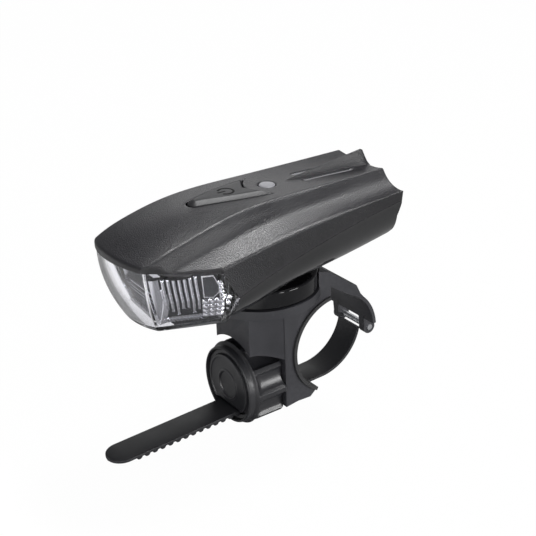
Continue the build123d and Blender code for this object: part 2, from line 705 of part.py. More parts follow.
# Charging socket under the board's tail, and the rubber flap over it
with BuildPart() as charge_socket:
    add(block((-socket_half_width, socket_face_y - socket_length, socket_centre_z - socket_height / 2),
              (socket_half_width, socket_face_y, socket_centre_z + socket_height / 2)))
    add(block((-socket_half_width + socket_wall, socket_face_y - socket_length + 1, socket_centre_z - socket_height / 2 + socket_wall),
              (socket_half_width - socket_wall, socket_face_y, socket_centre_z + socket_height / 2 - socket_wall)),
        mode=Mode.SUBTRACT)

port_seat_y = port_recess_y + slide_gap / 3
with BuildPart() as port_cover:
    add(block((-port_plate_half_width, port_seat_y, port_hinge_z),
              (port_plate_half_width, port_seat_y + port_plate_thickness, port_hinge_z + port_plate_height)))
    fillet(port_cover.edges().filter_by(Axis.X).group_by(Axis.Z)[0], port_plate_thickness * 0.49)
    fillet(port_cover.edges().filter_by(Axis.Y).group_by(Axis.Z)[-1], port_plate_thickness * 0.8)
    add(block((-socket_half_width + 0.6, port_seat_y - port_plug_depth, socket_centre_z - port_plug_half_height),
              (socket_half_width - 0.6, port_seat_y, socket_centre_z + port_plug_half_height)))


# Wires: one pair from the cell to the board, one pair from the board to the emitter's board
def lead_pair(x, points, bend):
    """Two round wires on the same route, one each side of the centreline."""
    with BuildPart() as pair:
        for side in (1, -1):
            route = [(side * x, y, z) for y, z in points]
            with BuildLine() as path:
                FilletPolyline(*route, radius=bend)
            with BuildSketch(Plane(origin=path.line @ 0, z_dir=path.line % 0)):
                Circle(lead_radius)
            sweep(path=path.line)
    return pair.part


lead_rest_z = board_top_z + lead_radius
with BuildPart() as battery_leads:
    add(lead_pair(2.2, [(cell_front_y, cell_bottom_z + cell_height / 2), (cell_front_y - 3.4, cell_bottom_z + cell_height / 2),
                        (cell_front_y - 3.4, lead_rest_z), (board_front_y + 2.0, lead_rest_z)], 1.5))

led_lead_y = (reflector_rear_y + led_board_rear_y) / 2
with BuildPart() as led_leads:
    add(lead_pair(5.2, [(led_lead_y, optic_centre_z + led_board_side / 2), (led_lead_y, lead_rest_z),
                        (board_front_y + 2.0, lead_rest_z)], 2.5))

# Slide shoe under the belly, a T in cross-section, with its two screws
with BuildPart() as slide_shoe:
    add(block((-shoe_neck_half_width, shoe_front_y, shoe_neck_bottom_z), (shoe_neck_half_width, shoe_rear_y, belly_pad_z)))
    add(block((-shoe_head_half_width, shoe_front_y, shoe_head_bottom_z), (shoe_head_half_width, shoe_rear_y, shoe_neck_bottom_z)))
    fillet(slide_shoe.edges().filter_by(Axis.Z).group_by(Axis.Y)[0], 1.2)
    for side in (1, -1):
        y = shoe_mid_y + side * shoe_screw_spacing / 2
        add(upright(0, y, shoe_screw_head_radius + 0.1, 0, shoe_head_bottom_z + shoe_screw_head_height), mode=Mode.SUBTRACT)
        add(upright(0, y, shoe_screw_radius, 0, belly_pad_z + 1), mode=Mode.SUBTRACT)

with BuildPart() as shoe_screws:
    for side in (1, -1):
        y = shoe_mid_y + side * shoe_screw_spacing / 2
        seat = shoe_head_bottom_z + shoe_screw_head_height
        add(upright(0, y, shoe_screw_head_radius, shoe_head_bottom_z + 0.1, seat))
        add(upright(0, y, shoe_screw_radius, seat, seat + shoe_screw_length))

# Turntable: a drum with a T-slot open to the front, on a hub that turns in the saddle
slot_bottom_z = shoe_head_bottom_z - slide_gap
pivot_head_top_z = slot_bottom_z - 0.1
pivot_head_bottom_z = pivot_head_top_z - pivot_head_height
with BuildPart() as turntable:
    add(upright(0, turntable_y, turntable_radius, turntable_bottom_z, turntable_top_z))
    fillet(turntable.edges().filter_by(GeomType.CIRCLE).sort_by(Axis.Z)[-1], 0.8)
    chamfer(turntable.edges().filter_by(GeomType.CIRCLE).sort_by(Axis.Z)[0], 0.5)
    add(upright(0, turntable_y, hub_radius, turntable_bottom_z - hub_length, turntable_bottom_z))
    add(block((-shoe_head_half_width - slide_gap, turntable_y - turntable_radius - 1, slot_bottom_z),
              (shoe_head_half_width + slide_gap, shoe_rear_y + slide_gap, shoe_neck_bottom_z + slide_gap)), mode=Mode.SUBTRACT)
    add(block((-shoe_neck_half_width - slide_gap, turntable_y - turntable_radius - 1, slot_bottom_z),
              (shoe_neck_half_width + slide_gap, shoe_rear_y + slide_gap, turntable_top_z + 1)), mode=Mode.SUBTRACT)
    add(upright(0, turntable_y, pivot_head_radius + face_gap, pivot_head_bottom_z - 0.1, slot_bottom_z), mode=Mode.SUBTRACT)
    add(upright(0, turntable_y, pivot_screw_radius + running_gap, 0, slot_bottom_z), mode=Mode.SUBTRACT)

with BuildPart() as pivot_screw:
    add(upright(0, turntable_y, pivot_head_radius, pivot_head_bottom_z, pivot_head_top_z))
    add(upright(0, turntable_y, pivot_screw_radius, pivot_head_top_z - pivot_screw_length, pivot_head_bottom_z))
    add(upright(0, turntable_y, pivot_screw_radius * 0.6, pivot_head_bottom_z + 0.3, pivot_head_top_z), mode=Mode.SUBTRACT)

with BuildPart() as friction_washer:
    add(upright(0, turntable_y, washer_outer_radius, seat_plane_z - washer_thickness, seat_plane_z))
    add(upright(0, turntable_y, washer_inner_radius, 0, seat_plane_z), mode=Mode.SUBTRACT)


# Points of the bracket's side view, given by radius and angle from the rearward direction
def polar(radius, angle):
    """A point of the side view at one radius and angle about the handlebar's axis."""
    return (radius * cos(radians(angle)), radius * sin(radians(angle)))


def arc_through(radius, start, end):
    """An arc of the side view about the handlebar's axis."""
    return ThreePointArc(polar(radius, start), polar(radius, (start + end) / 2), polar(radius, end))


# Strap line: round the bar, then a straight run forwards and slightly down, under the knob's core
strap_inner = bar_radius + 0.05
strap_outer = strap_inner + strap_thickness
strap_leave_deg = -90 + strap_slope_deg
strap_start_deg = -12.0
arm_inner = strap_inner
arm_outer = arm_inner + arm_thickness
pin_y, pin_z = polar(strap_inner + anchor_eye_radius + 0.3, strap_start_deg + 3.0)


def strap_point(y, side):
    """A point on the strap's straight run: side 0 is its inner face, 1 its outer face."""
    start_y, start_z = polar(strap_inner + side * strap_thickness, strap_leave_deg)
    return (y, start_z - (start_y - y) * tan(radians(strap_slope_deg)))


with BuildPart() as strap:
    with BuildSketch(Plane.YZ):
        with BuildLine():
            arc_through(strap_inner, strap_start_deg, strap_leave_deg)
            Polyline(polar(strap_inner, strap_leave_deg), strap_point(strap_tail_end_y, 0), strap_point(strap_tail_end_y, 1),
                     polar(strap_outer, strap_leave_deg))
            arc_through(strap_outer, strap_leave_deg, strap_start_deg)
            Line(polar(strap_outer, strap_start_deg), polar(strap_inner, strap_start_deg))
        make_face()
        with Locations((pin_y, pin_z)):
            Circle(anchor_eye_radius)
            Circle(anchor_pin_radius, mode=Mode.SUBTRACT)
    extrude(amount=strap_half_width, both=True)
    tooth_end_y = strap_tail_end_y + tooth_end_margin
    tooth_start_y = wall_front_y - 1.5
    tooth_count = int((tooth_start_y - tooth_end_y) / tooth_pitch)
    for index in range(tooth_count):
        y = tooth_end_y + index * tooth_pitch
        base_front, base_rear = strap_point(y, 0.8), strap_point(y + tooth_pitch * 0.62, 0.8)
        tip_y, tip_z = strap_point(y + tooth_pitch * 0.18, 1)
        tip_rear_y, tip_rear_z = strap_point(y + tooth_pitch * 0.44, 1)
        with BuildSketch(Plane.YZ):
            with BuildLine():
                Polyline(base_front, base_rear, (tip_rear_y, tip_rear_z - tooth_height), (tip_y, tip_z - tooth_height), close=True)
            make_face()
        extrude(amount=tooth_half_width, both=True)
    with BuildSketch(Plane.XY.offset(-far / 2)):
        with BuildLine():
            ThreePointArc((-strap_half_width, strap_tail_end_y + strap_half_width), (0, strap_tail_end_y),
                          (strap_half_width, strap_tail_end_y + strap_half_width))
            Polyline((strap_half_width, strap_tail_end_y + strap_half_width), (strap_half_width, bar_radius * 2),
                     (-strap_half_width, bar_radius * 2), (-strap_half_width, strap_tail_end_y + strap_half_width))
        make_face()
    extrude(amount=far, mode=Mode.INTERSECT)

with BuildPart() as anchor_pin:
    ear_outer_x = strap_half_width + slide_gap + ear_width
    add(crossbar(pin_y, pin_z, anchor_pin_radius, -ear_outer_x - 0.3, ear_outer_x + 0.3))

# Saddle: wraps the front of the bar, carries the seat, the block above the knob and the knob's core
core_radius = knob_bore_radius - knob_thread_depth - running_gap
core_front_y = knob_front_y + cap_thickness
core_flat_z = strap_point(wall_front_y, 0)[1] + slide_gap
bore_end = polar(saddle_bore, saddle_lower_end_deg)
notch_z = strap_point(wall_front_y + 6, 0)[1] + slide_gap + 0.5
flange_bottom_z = seat_plane_z - seat_flange_thickness
block_top_z = flange_bottom_z - 2.2
with BuildPart() as saddle:
    with BuildSketch(Plane.YZ):
        with BuildLine():
            Polyline((wall_front_y, bore_end[1] - 2.2), (wall_front_y, seat_plane_z), (-8.0, seat_plane_z),
                     (-7.0, seat_plane_z + 5.6), (-2.0, seat_plane_z + 3.8), (2.0, seat_plane_z + 1.0),
                     (6.0, seat_plane_z - 2.5), (8.2, seat_plane_z - 3.4), (8.9, seat_plane_z - 4.0), (10.6, seat_plane_z - 7.5),
                     polar(arm_outer, 46.5))
            arc_through(arm_outer, 46.5, arm_end_deg)
            Line(polar(arm_outer, arm_end_deg), polar(arm_inner, arm_end_deg))
            arc_through(arm_inner, arm_end_deg, 66.0)
            Polyline(polar(arm_inner, 66.0), (-1.6, seat_plane_z - 1.4), polar(saddle_bore, 95.4))
            arc_through(saddle_bore, 95.4, saddle_lower_end_deg)
            Polyline(bore_end, (bore_end[0] - 2.2, bore_end[1] - 1.8), (bore_end[0] - 7.2, bore_end[1] - 1.6),
                     (wall_front_y, bore_end[1] - 2.2))
        make_face()
    extrude(amount=saddle_half_width, both=True)
    add(block((-block_half_width, block_front_y, knob_axis_z + 2), (block_half_width, wall_front_y + 4, block_top_z + 3)))
    with BuildSketch(Plane.XY.offset(block_top_z)) as cone_base:
        with Locations((0, turntable_y)):
            Circle(saddle_half_width)
    with BuildSketch(Plane.XY.offset(flange_bottom_z + 0.6)) as cone_top:
        with Locations((0, turntable_y)):
            Circle(seat_flange_radius)
    loft()
    add(upright(0, turntable_y, seat_flange_radius, flange_bottom_z + 0.6, seat_plane_z))
    add(crossbar(0, 0, saddle_bore, -far / 4, far / 4) & side_prism([(-far / 4, -far / 4), (-far / 4, far / 4), (polar(saddle_bore, 95.4)[0], far / 4),
                                                                  (polar(saddle_bore, 95.4)[0], -far / 4)]), mode=Mode.SUBTRACT)
    add(beamwise(knob_grip_radius + knob_pocket_clearance, knob_front_y - 2, wall_front_y), mode=Mode.SUBTRACT)
    add(upright(0, turntable_y, turntable_radius + moving_gap, seat_plane_z, far / 4), mode=Mode.SUBTRACT)
    add(beamwise(core_radius, core_front_y, wall_front_y + 1))
    add(block((-strap_half_width - slide_gap, knob_front_y - 5, -far / 4), (strap_half_width + slide_gap, wall_front_y, core_flat_z)),
        mode=Mode.SUBTRACT)
    add(block((-core_radius, knob_front_y - 5, -far / 4), (core_radius, wall_front_y, core_flat_z)), mode=Mode.SUBTRACT)
    add(block((-strap_half_width - slide_gap, wall_front_y - 1, -far / 4), (strap_half_width + slide_gap, 0, notch_z)), mode=Mode.SUBTRACT)
    add(upright(0, turntable_y, hub_radius + running_gap, turntable_bottom_z - hub_length - 0.4, seat_plane_z), mode=Mode.SUBTRACT)
    add(upright(0, turntable_y, washer_outer_radius, seat_plane_z - washer_thickness, seat_plane_z), mode=Mode.SUBTRACT)
    add(upright(0, turntable_y, pivot_screw_radius, pivot_head_top_z - pivot_screw_length, seat_plane_z), mode=Mode.SUBTRACT)
    add(beamwise(3.0, core_front_y, core_front_y + 5.2), mode=Mode.SUBTRACT)
    for side in (1, -1):
        low_x = strap_half_width + slide_gap if side > 0 else -ear_outer_x
        with BuildSketch(Plane.YZ.offset(low_x)):
            with BuildLine():
                Polyline(polar(arm_inner, arm_end_deg + 8), polar(arm_outer, arm_end_deg + 10), (pin_y + anchor_eye_radius, pin_z),
                         (pin_y - anchor_eye_radius + 0.2, pin_z), close=True)
            make_face()
            with Locations((pin_y, pin_z)):
                Circle(anchor_eye_radius)
                Circle(anchor_pin_radius, mode=Mode.SUBTRACT)
        extrude(amount=ear_width)

# Liner: soft rubber between the saddle and the bar
with BuildPart() as bar_liner:
    with BuildSketch(Plane.YZ):
        with BuildLine():
            arc_through(bar_radius, 97.0, saddle_lower_end_deg)
            Line(polar(bar_radius, saddle_lower_end_deg), polar(saddle_bore, saddle_lower_end_deg))
            arc_through(saddle_bore, saddle_lower_end_deg, 97.0)
            Line(polar(saddle_bore, 97.0), polar(bar_radius, 97.0))
        make_face()
    extrude(amount=saddle_half_width + liner_overhang, both=True)

# Tightening knob: a ring that turns on the core, fluted grip, thin front rim, ribbed bore
with BuildPart() as clamp_knob:
    add(beamwise(knob_grip_radius, knob_front_y + knob_rim_length, knob_rear_y))
    add(beamwise(knob_rim_radius, knob_front_y, knob_front_y + knob_rim_length))
    chamfer(clamp_knob.edges().filter_by(GeomType.CIRCLE).sort_by(Axis.Y)[0], 0.5)
    flute_centre = knob_grip_radius + knob_flute_radius - knob_flute_depth
    for index in range(knob_flute_count):
        angle = radians(360 * (index + 0.5) / knob_flute_count)
        with BuildSketch(Plane.XZ.offset(-knob_rear_y)):
            with Locations((flute_centre * cos(angle), knob_axis_z + flute_centre * sin(angle))):
                Circle(knob_flute_radius)
        extrude(amount=knob_length - knob_rim_length - 1.2, mode=Mode.SUBTRACT)
    add(beamwise(knob_bore_radius - knob_thread_depth, knob_front_y, knob_rear_y), mode=Mode.SUBTRACT)
    thread_count = int((knob_length - 5) / tooth_pitch)
    for index in range(thread_count):
        groove_front = core_front_y + 1 + index * tooth_pitch
        add(beamwise(knob_bore_radius, groove_front, groove_front + tooth_pitch * 0.6), mode=Mode.SUBTRACT)
    add(beamwise(cap_radius + slide_gap, knob_front_y, core_front_y + face_gap), mode=Mode.SUBTRACT)

# Cap on the end of the core: a stepped disc with a bare round recess, cut away over the strap
cap_cut_z = strap_point(knob_front_y, 0)[1] + slide_gap
with BuildPart() as knob_cap:
    add(beamwise(cap_radius, knob_front_y + cap_thickness / 2, core_front_y))
    add(beamwise(cap_radius - 1.2, knob_front_y, core_front_y))
    chamfer(knob_cap.edges().filter_by(GeomType.CIRCLE).sort_by(Axis.Y)[0], 0.3)
    add(beamwise(cap_recess_radius, knob_front_y, knob_front_y + cap_recess_depth), mode=Mode.SUBTRACT)
    add(beamwise(2.9, core_front_y, core_front_y + 5.0))
    add(block((-cap_radius, knob_front_y - 1, -far / 4), (cap_radius, core_front_y + 1, cap_cut_z)), mode=Mode.SUBTRACT)

pieces = {
    "top_shell": top_shell, "bottom_shell": bottom_shell, "shell_gasket": shell_gasket, "lens": lens,
    "reflector": reflector, "led_emitter": led_emitter, "led_board": led_board, "heat_sink": heat_sink,
    "battery_cell": battery_cell, "cell_foam": cell_foam, "circuit_board": circuit_board,
    "tact_switch": tact_switch, "switch_plunger": switch_plunger, "power_button": power_button,
    "indicator_window": indicator_window, "indicator_led": indicator_led, "charge_socket": charge_socket,
    "port_cover": port_cover, "battery_leads": battery_leads, "led_leads": led_leads,
    "casing_screws": casing_screws, "slide_shoe": slide_shoe, "shoe_screws": shoe_screws,
    "turntable": turntable, "pivot_screw": pivot_screw, "friction_washer": friction_washer,
    "saddle": saddle, "bar_liner": bar_liner, "strap": strap, "anchor_pin": anchor_pin,
    "clamp_knob": clamp_knob, "knob_cap": knob_cap,
}
for piece_name, piece in pieces.items():
    piece.part.label = piece_name
    export_step(piece.part, f"parts/{piece_name}.step")
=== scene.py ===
import logging
import math
from dataclasses import dataclass, field
from enum import Enum

import bmesh
import bpy
import numpy as np
from mathutils import Matrix, Vector


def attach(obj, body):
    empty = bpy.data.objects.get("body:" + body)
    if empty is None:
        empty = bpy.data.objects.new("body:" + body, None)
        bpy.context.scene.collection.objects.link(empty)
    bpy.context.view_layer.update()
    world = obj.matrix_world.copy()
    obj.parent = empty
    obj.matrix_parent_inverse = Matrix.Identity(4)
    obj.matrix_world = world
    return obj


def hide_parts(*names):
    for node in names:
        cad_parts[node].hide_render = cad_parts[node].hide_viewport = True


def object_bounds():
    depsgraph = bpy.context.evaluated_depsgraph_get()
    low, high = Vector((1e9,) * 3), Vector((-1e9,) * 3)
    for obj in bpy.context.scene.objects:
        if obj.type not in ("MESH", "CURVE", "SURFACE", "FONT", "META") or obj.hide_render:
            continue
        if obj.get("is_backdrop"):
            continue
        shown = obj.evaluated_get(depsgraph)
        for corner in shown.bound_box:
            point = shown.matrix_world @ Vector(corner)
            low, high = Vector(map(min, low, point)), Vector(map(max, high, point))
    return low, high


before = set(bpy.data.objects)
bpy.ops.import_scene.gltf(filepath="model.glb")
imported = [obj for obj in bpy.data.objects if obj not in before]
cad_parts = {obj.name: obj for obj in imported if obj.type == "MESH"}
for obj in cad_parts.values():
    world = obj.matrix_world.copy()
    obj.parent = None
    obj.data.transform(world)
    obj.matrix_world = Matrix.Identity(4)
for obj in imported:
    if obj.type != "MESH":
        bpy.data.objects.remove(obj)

# Looks for a bicycle headlight on its handlebar strap mount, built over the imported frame.
# The classes hold their sizes in millimetres, in the frame's own axes: X along the handlebar,
# -Y the way the beam points, Z up. Soup.build takes them to the scene's metres.

MM = 0.001
LOG = logging.getLogger("headlight")
Array = np.ndarray
Pair = tuple[float, float]
Point = Colour = tuple[float, float, float]
Piece, Mesh, Material = bpy.types.Object, bpy.types.Mesh, bpy.types.Material
Node, Socket, NodeTree = bpy.types.Node, bpy.types.NodeSocket, bpy.types.NodeTree


class Body(Enum):
    """The rigid bodies that the pieces ride on."""

    BRACKET = "bracket"
    KNOB = "knob"
    TURNTABLE = "turntable"
    LIGHT = "light"
    BUTTON = "button"
    PORT_COVER = "port_cover"


# ---- numbers and curves ----


def ease(low: float, high: float, value: Array) -> Array:
    """Smooth step: 0 up to low, 1 from high, 3t^2 - 2t^3 in between.

    Args:
        low: where the rise starts.
        high: where the rise ends.
        value: numbers to place on the rise.

    Returns:
        The eased share for each number.
    """
    share = np.clip((value - low) / (high - low), 0.0, 1.0)
    return share * share * (3.0 - 2.0 * share)


def through_knots(knots: Array, heights: Array, at: Array) -> Array:
    """Natural cubic spline: cubic pieces with matching slope and bend at each knot.

    Args:
        knots: rising positions.
        heights: value at each knot.
        at: positions to read.

    Returns:
        The spline's value at each position.
    """
    step = np.diff(knots)
    count = len(knots)
    matrix = np.eye(count)
    inner = np.arange(1, count - 1)
    matrix[inner, inner - 1] = step[:-1]
    matrix[inner, inner] = 2.0 * (step[:-1] + step[1:])
    matrix[inner, inner + 1] = step[1:]
    rise = np.diff(heights) / step
    right = np.zeros(count)
    right[1:-1] = 3.0 * np.diff(rise)
    bend = np.linalg.solve(matrix, right)
    slope = rise - step * (2.0 * bend[:-1] + bend[1:]) / 3.0
    cell = np.clip(np.searchsorted(knots, at) - 1, 0, count - 2)
    run = at - knots[cell]
    cube = (bend[cell + 1] - bend[cell]) / (3.0 * step[cell])
    return heights[cell] + run * (slope[cell] + run * (bend[cell] + run * cube))


def stretches(*parts: tuple[float, float, int]) -> Array:
    """Rising numbers in stretches, each from start to end in so many steps, joined without doubles."""
    runs = [np.linspace(start, end, count + 1)[:-1] for start, end, count in parts]
    return np.concatenate([*runs, [parts[-1][1]]])


def circle_through(start: Array, middle: Array, end: Array) -> tuple[Array, float]:
    """Circle through three points, with its centre where the bisectors of their chords meet.

    Args:
        start: first point.
        middle: second point.
        end: third point.

    Returns:
        The centre and the radius.
    """
    a, b, c = (np.asarray(p, float) for p in (start, middle, end))
    area = 2.0 * (a[0] * (b[1] - c[1]) + b[0] * (c[1] - a[1]) + c[0] * (a[1] - b[1]))
    squares = [float(p @ p) for p in (a, b, c)]
    centre = np.array([
        squares[0] * (b[1] - c[1]) + squares[1] * (c[1] - a[1]) + squares[2] * (a[1] - b[1]),
        squares[0] * (c[0] - b[0]) + squares[1] * (a[0] - c[0]) + squares[2] * (b[0] - a[0]),
    ]) / area
    return centre, float(np.linalg.norm(a - centre))


def arc_between(start: Array, middle: Array, end: Array, count: int) -> Array:
    """Points on the circle through three points, evenly spaced by angle from start to end.

    Args:
        start: first point.
        middle: a point on the way.
        end: last point.
        count: number of points.

    Returns:
        The points, one row each.
    """
    centre, radius = circle_through(start, middle, end)
    given = (np.asarray(p, float) for p in (start, middle, end))
    angles = np.unwrap([math.atan2(*(p - centre)[::-1]) for p in given])
    turn = np.linspace(angles[0], angles[2], count)
    return centre + radius * np.stack([np.cos(turn), np.sin(turn)], -1)


def unit_circle(count: int) -> Array:
    """Points evenly round a circle of radius 1: cosine and sine of the turn."""
    turn = np.linspace(0, 2 * math.pi, count + 1)[:-1]
    return np.stack([np.cos(turn), np.sin(turn)], -1)


def soften(sheet: Array, low: int, high: int, passes: int) -> None:
    """Smooths columns of a grid in place: each becomes half itself and a quarter of each neighbour.

    Args:
        sheet: the grid, rows by columns.
        low: first column to smooth.
        high: last column to smooth.
        passes: times to repeat it.
    """
    for _ in range(passes):
        part = sheet[:, low - 1: high + 2]
        sheet[:, low: high + 1] = 0.25 * part[:, :-2] + 0.5 * part[:, 1:-1] + 0.25 * part[:, 2:]


def outline_distance(points: Array, outline: Array) -> tuple[Array, Array]:
    """Distance from points to a closed outline, below zero inside it, and the nearest outline points.

    Args:
        points: n rows of two numbers.
        outline: m rows of two numbers, in order round the outline.

    Returns:
        The n signed distances and the n nearest points.
    """
    ahead = np.roll(outline, -1, axis=0)
    run = ahead - outline
    gap = points[:, None] - outline[None]
    share = np.clip((gap * run).sum(-1) / np.maximum((run * run).sum(-1), 1e-12), 0.0, 1.0)
    near = outline[None] + share[..., None] * run[None]
    far = np.linalg.norm(points[:, None] - near, axis=-1)
    best = far.argmin(1)
    rows = np.arange(len(points))
    spans = (outline[None, :, 1] > points[:, 1:2]) != (ahead[None, :, 1] > points[:, 1:2])
    level = np.where(np.abs(run[:, 1]) < 1e-12, 1e-12, run[:, 1])
    cross = outline[:, 0] + (points[:, 1:2] - outline[:, 1]) * run[:, 0] / level
    inside = ((points[:, :1] < cross) & spans).sum(1) % 2 == 1
    return np.where(inside, -far[rows, best], far[rows, best]), near[rows, best]


# ---- meshes ----


@dataclass
class Soup:
    """Points and faces gathered from several surfaces before they become one mesh."""

    points: list[Array] = field(default_factory=list)
    quads: list[Array] = field(default_factory=list)
    triangles: list[Array] = field(default_factory=list)
    count: int = 0

    def add(self, points: Array, quads: Array | None = None, triangles: Array | None = None) -> "Soup":
        """Takes points, and faces that count from the first of them.

        Args:
            points: the points, in millimetres.
            quads: four corner indices a row.
            triangles: three corner indices a row.

        Returns:
            The same soup.
        """
        self.points.append(np.asarray(points, float).reshape(-1, 3))
        for kept, faces in ((self.quads, quads), (self.triangles, triangles)):
            if faces is not None and len(faces):
                kept.append(np.asarray(faces) + self.count)
        self.count += len(self.points[-1])
        return self

    def grid(self, sheet: Array, wrap: bool = False) -> "Soup":
        """Takes a grid of points and faces each cell. With wrap the last column meets the first."""
        return self.add(sheet, quads=grid_quads(*sheet.shape[:2], wrap))

    def fan(self, ring: Array, tip: Array) -> "Soup":
        """Closes a ring of points with triangles to a tip."""
        index = np.arange(len(ring))
        return self.add(np.vstack([ring, tip]), None,
                        np.column_stack([index, np.roll(index, -1), np.full_like(index, len(ring))]))

    def capped(self, sheet: Array) -> "Soup":
        """Takes a grid that closes round its columns, with its first and last rows closed by fans."""
        self.grid(sheet, wrap=True).fan(sheet[0], sheet[0].mean(0))
        return self.fan(sheet[-1][::-1], sheet[-1].mean(0))

    def mirrored(self) -> "Soup":
        """The same faces together with their mirror image across X = 0.

        Returns:
            A new soup.
        """
        both = Soup(list(self.points), list(self.quads), list(self.triangles), self.count)
        points = np.concatenate(self.points) * np.array([-1.0, 1.0, 1.0])
        quads, triangles = (np.concatenate(f)[:, ::-1] if f else None for f in (self.quads, self.triangles))
        return both.add(points, quads, triangles)

    def build(self, name: str, crease: float = 34.0, weld: float = 0.004,
              heart: Point | None = None) -> Piece:
        """Makes the mesh object, welded and with its faces outwards.

        Args:
            name: the piece's name.
            crease: degrees above which an edge stays sharp.
            weld: distance within which points become one.
            heart: for an open surface, a point that its faces look away from.

        Returns:
            The object, at the origin and linked to the scene.
        """
        mesh = bpy.data.meshes.new(name)
        points = np.concatenate(self.points) * MM
        faces = [*self.quads, *self.triangles]
        corners = np.concatenate([f.ravel() for f in faces]).astype(np.int32)
        sizes = np.concatenate([np.full(len(f), f.shape[1]) for f in faces])
        starts = np.concatenate([[0], np.cumsum(sizes)[:-1]]).astype(np.int32)
        mesh.vertices.add(len(points))
        mesh.vertices.foreach_set("co", points.astype(np.float32).ravel())
        mesh.loops.add(len(corners))
        mesh.loops.foreach_set("vertex_index", corners)
        mesh.polygons.add(len(starts))
        mesh.polygons.foreach_set("loop_start", starts)
        mesh.update(calc_edges=True)
        mesh.validate()
        work = bmesh.new()
        work.from_mesh(mesh)
        bmesh.ops.remove_doubles(work, verts=work.verts, dist=weld * MM)
        bmesh.ops.dissolve_degenerate(work, edges=work.edges, dist=1e-7)
        bmesh.ops.recalc_face_normals(work, faces=work.faces)
        if heart is not None:
            core = Vector(heart) * MM
            side = sum(f.calc_area() * f.normal.dot(f.calc_center_median() - core) for f in work.faces)
            if side < 0:
                bmesh.ops.reverse_faces(work, faces=work.faces)
        work.to_mesh(mesh)
        work.free()
        finish_mesh(mesh, crease)
        return placed(mesh, name)


def grid_quads(rows: int, columns: int, wrap: bool = False) -> Array:
    """Corner indices of each cell of a grid whose points are numbered row by row.

    Args:
        rows: rows of points.
        columns: columns of points.
        wrap: whether the last column meets the first.

    Returns:
        Four indices a row.
    """
    index = np.arange(rows * columns).reshape(rows, columns)
    if wrap:
        index = np.concatenate([index, index[:, :1]], axis=1)
    return np.stack([index[:-1, :-1], index[:-1, 1:], index[1:, 1:], index[1:, :-1]], -1).reshape(-1, 4)


def finish_mesh(mesh: Mesh, crease: float) -> None:
    """Smooth shading, with edges above the crease angle kept sharp.

    Args:
        mesh: the mesh to shade.
        crease: the angle in degrees.
    """
    mesh.polygons.foreach_set("use_smooth", np.ones(len(mesh.polygons), bool))
    mesh.set_sharp_from_angle(angle=math.radians(crease))
    mesh.update()


def placed(mesh: Mesh, name: str) -> Piece:
    """An object at the origin that holds the mesh, linked to the scene.

    Args:
        mesh: the piece's mesh.
        name: the piece's name.

    Returns:
        The object.
    """
    piece = bpy.data.objects.new(name, mesh)
    bpy.context.scene.collection.objects.link(piece)
    return piece


def solid_copy(node: str, name: str, edge: float = 0.0, crease: float = 30.0) -> Piece:
    """A welded copy of a frame node, with its edges broken by a small bevel.

    Args:
        node: the frame node's name.
        name: the new piece's name.
        edge: width of the bevel, or 0 for none.
        crease: degrees above which an edge stays sharp.

    Returns:
        The new object.
    """
    work = bmesh.new()
    work.from_mesh(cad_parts[node].data)
    bmesh.ops.remove_doubles(work, verts=work.verts, dist=2e-6)
    bmesh.ops.dissolve_limit(work, angle_limit=math.radians(0.5), verts=work.verts, edges=work.edges)
    mesh = bpy.data.meshes.new(name)
    work.to_mesh(mesh)
    work.free()
    finish_mesh(mesh, crease)
    piece = placed(mesh, name)
    if edge:
        bevel = piece.modifiers.new("edge", "BEVEL")
        bevel.width = edge * MM
        bevel.segments = 2
        bevel.limit_method = "ANGLE"
        bevel.angle_limit = math.radians(38)
        bevel.harden_normals = True
    return piece


def thicken(piece: Piece, wall: float, offset: float = -1.0, crease: float = 38.0) -> Piece:
    """Gives an open surface a wall, closed at its rims, with sharp shading round them.

    Args:
        piece: the open surface's object.
        wall: wall thickness.
        offset: -1 for a wall inwards, 1 for outwards.
        crease: degrees above which an edge stays sharp.

    Returns:
        The same object.
    """
    solid = piece.modifiers.new("wall", "SOLIDIFY")
    solid.thickness = wall * MM
    solid.offset = offset
    solid.use_quality_normals = True
    whole_piece = piece.evaluated_get(bpy.context.evaluated_depsgraph_get())
    mesh = bpy.data.meshes.new_from_object(whole_piece)
    mesh.name = piece.name
    piece.modifiers.clear()
    piece.data = mesh
    finish_mesh(mesh, crease)
    return piece


def read_points(piece: Piece) -> Array:
    """Reads where a piece's points are.

    Args:
        piece: the object to read.

    Returns:
        The points in millimetres, one row each.
    """
    flat = np.empty(len(piece.data.vertices) * 3, np.float32)
    piece.data.vertices.foreach_get("co", flat)
    return flat.reshape(-1, 3) / MM


def write_points(piece: Piece, points: Array) -> None:
    """Moves a piece's points to places in millimetres."""
    piece.data.vertices.foreach_set("co", (points * MM).astype(np.float32).ravel())
    piece.data.update()


def turned(profile: Array, centre: Array, sides: int, shape: Array | None = None) -> Array:
    """Turns a profile about an axis along Y through a centre: x = r cos a, z = r sin a.

    Args:
        profile: rows of radius and y.
        centre: x and z of the axis.
        sides: points round the turn.
        shape: optional grid added to the radius, rows by sides.

    Returns:
        The grid of points, rows by sides.
    """
    angle = np.arange(sides) * 2.0 * math.pi / sides
    radius = np.repeat(profile[:, :1], sides, 1) + (0.0 if shape is None else shape)
    along = np.repeat(profile[:, 1:2], sides, 1)
    return np.stack([centre[0] + radius * np.cos(angle), along, centre[1] + radius * np.sin(angle)], -1)


def turned_up(profile: Array, centre: Array, sides: int, shape: Array | None = None) -> Array:
    """Turns a profile of radius and z about an upright axis: x = r cos a, y = r sin a."""
    grid = turned(profile, (0.0, 0.0), sides, shape)
    return np.stack([centre[0] + grid[..., 0], centre[1] + grid[..., 2], grid[..., 1]], -1)


# ---- materials ----


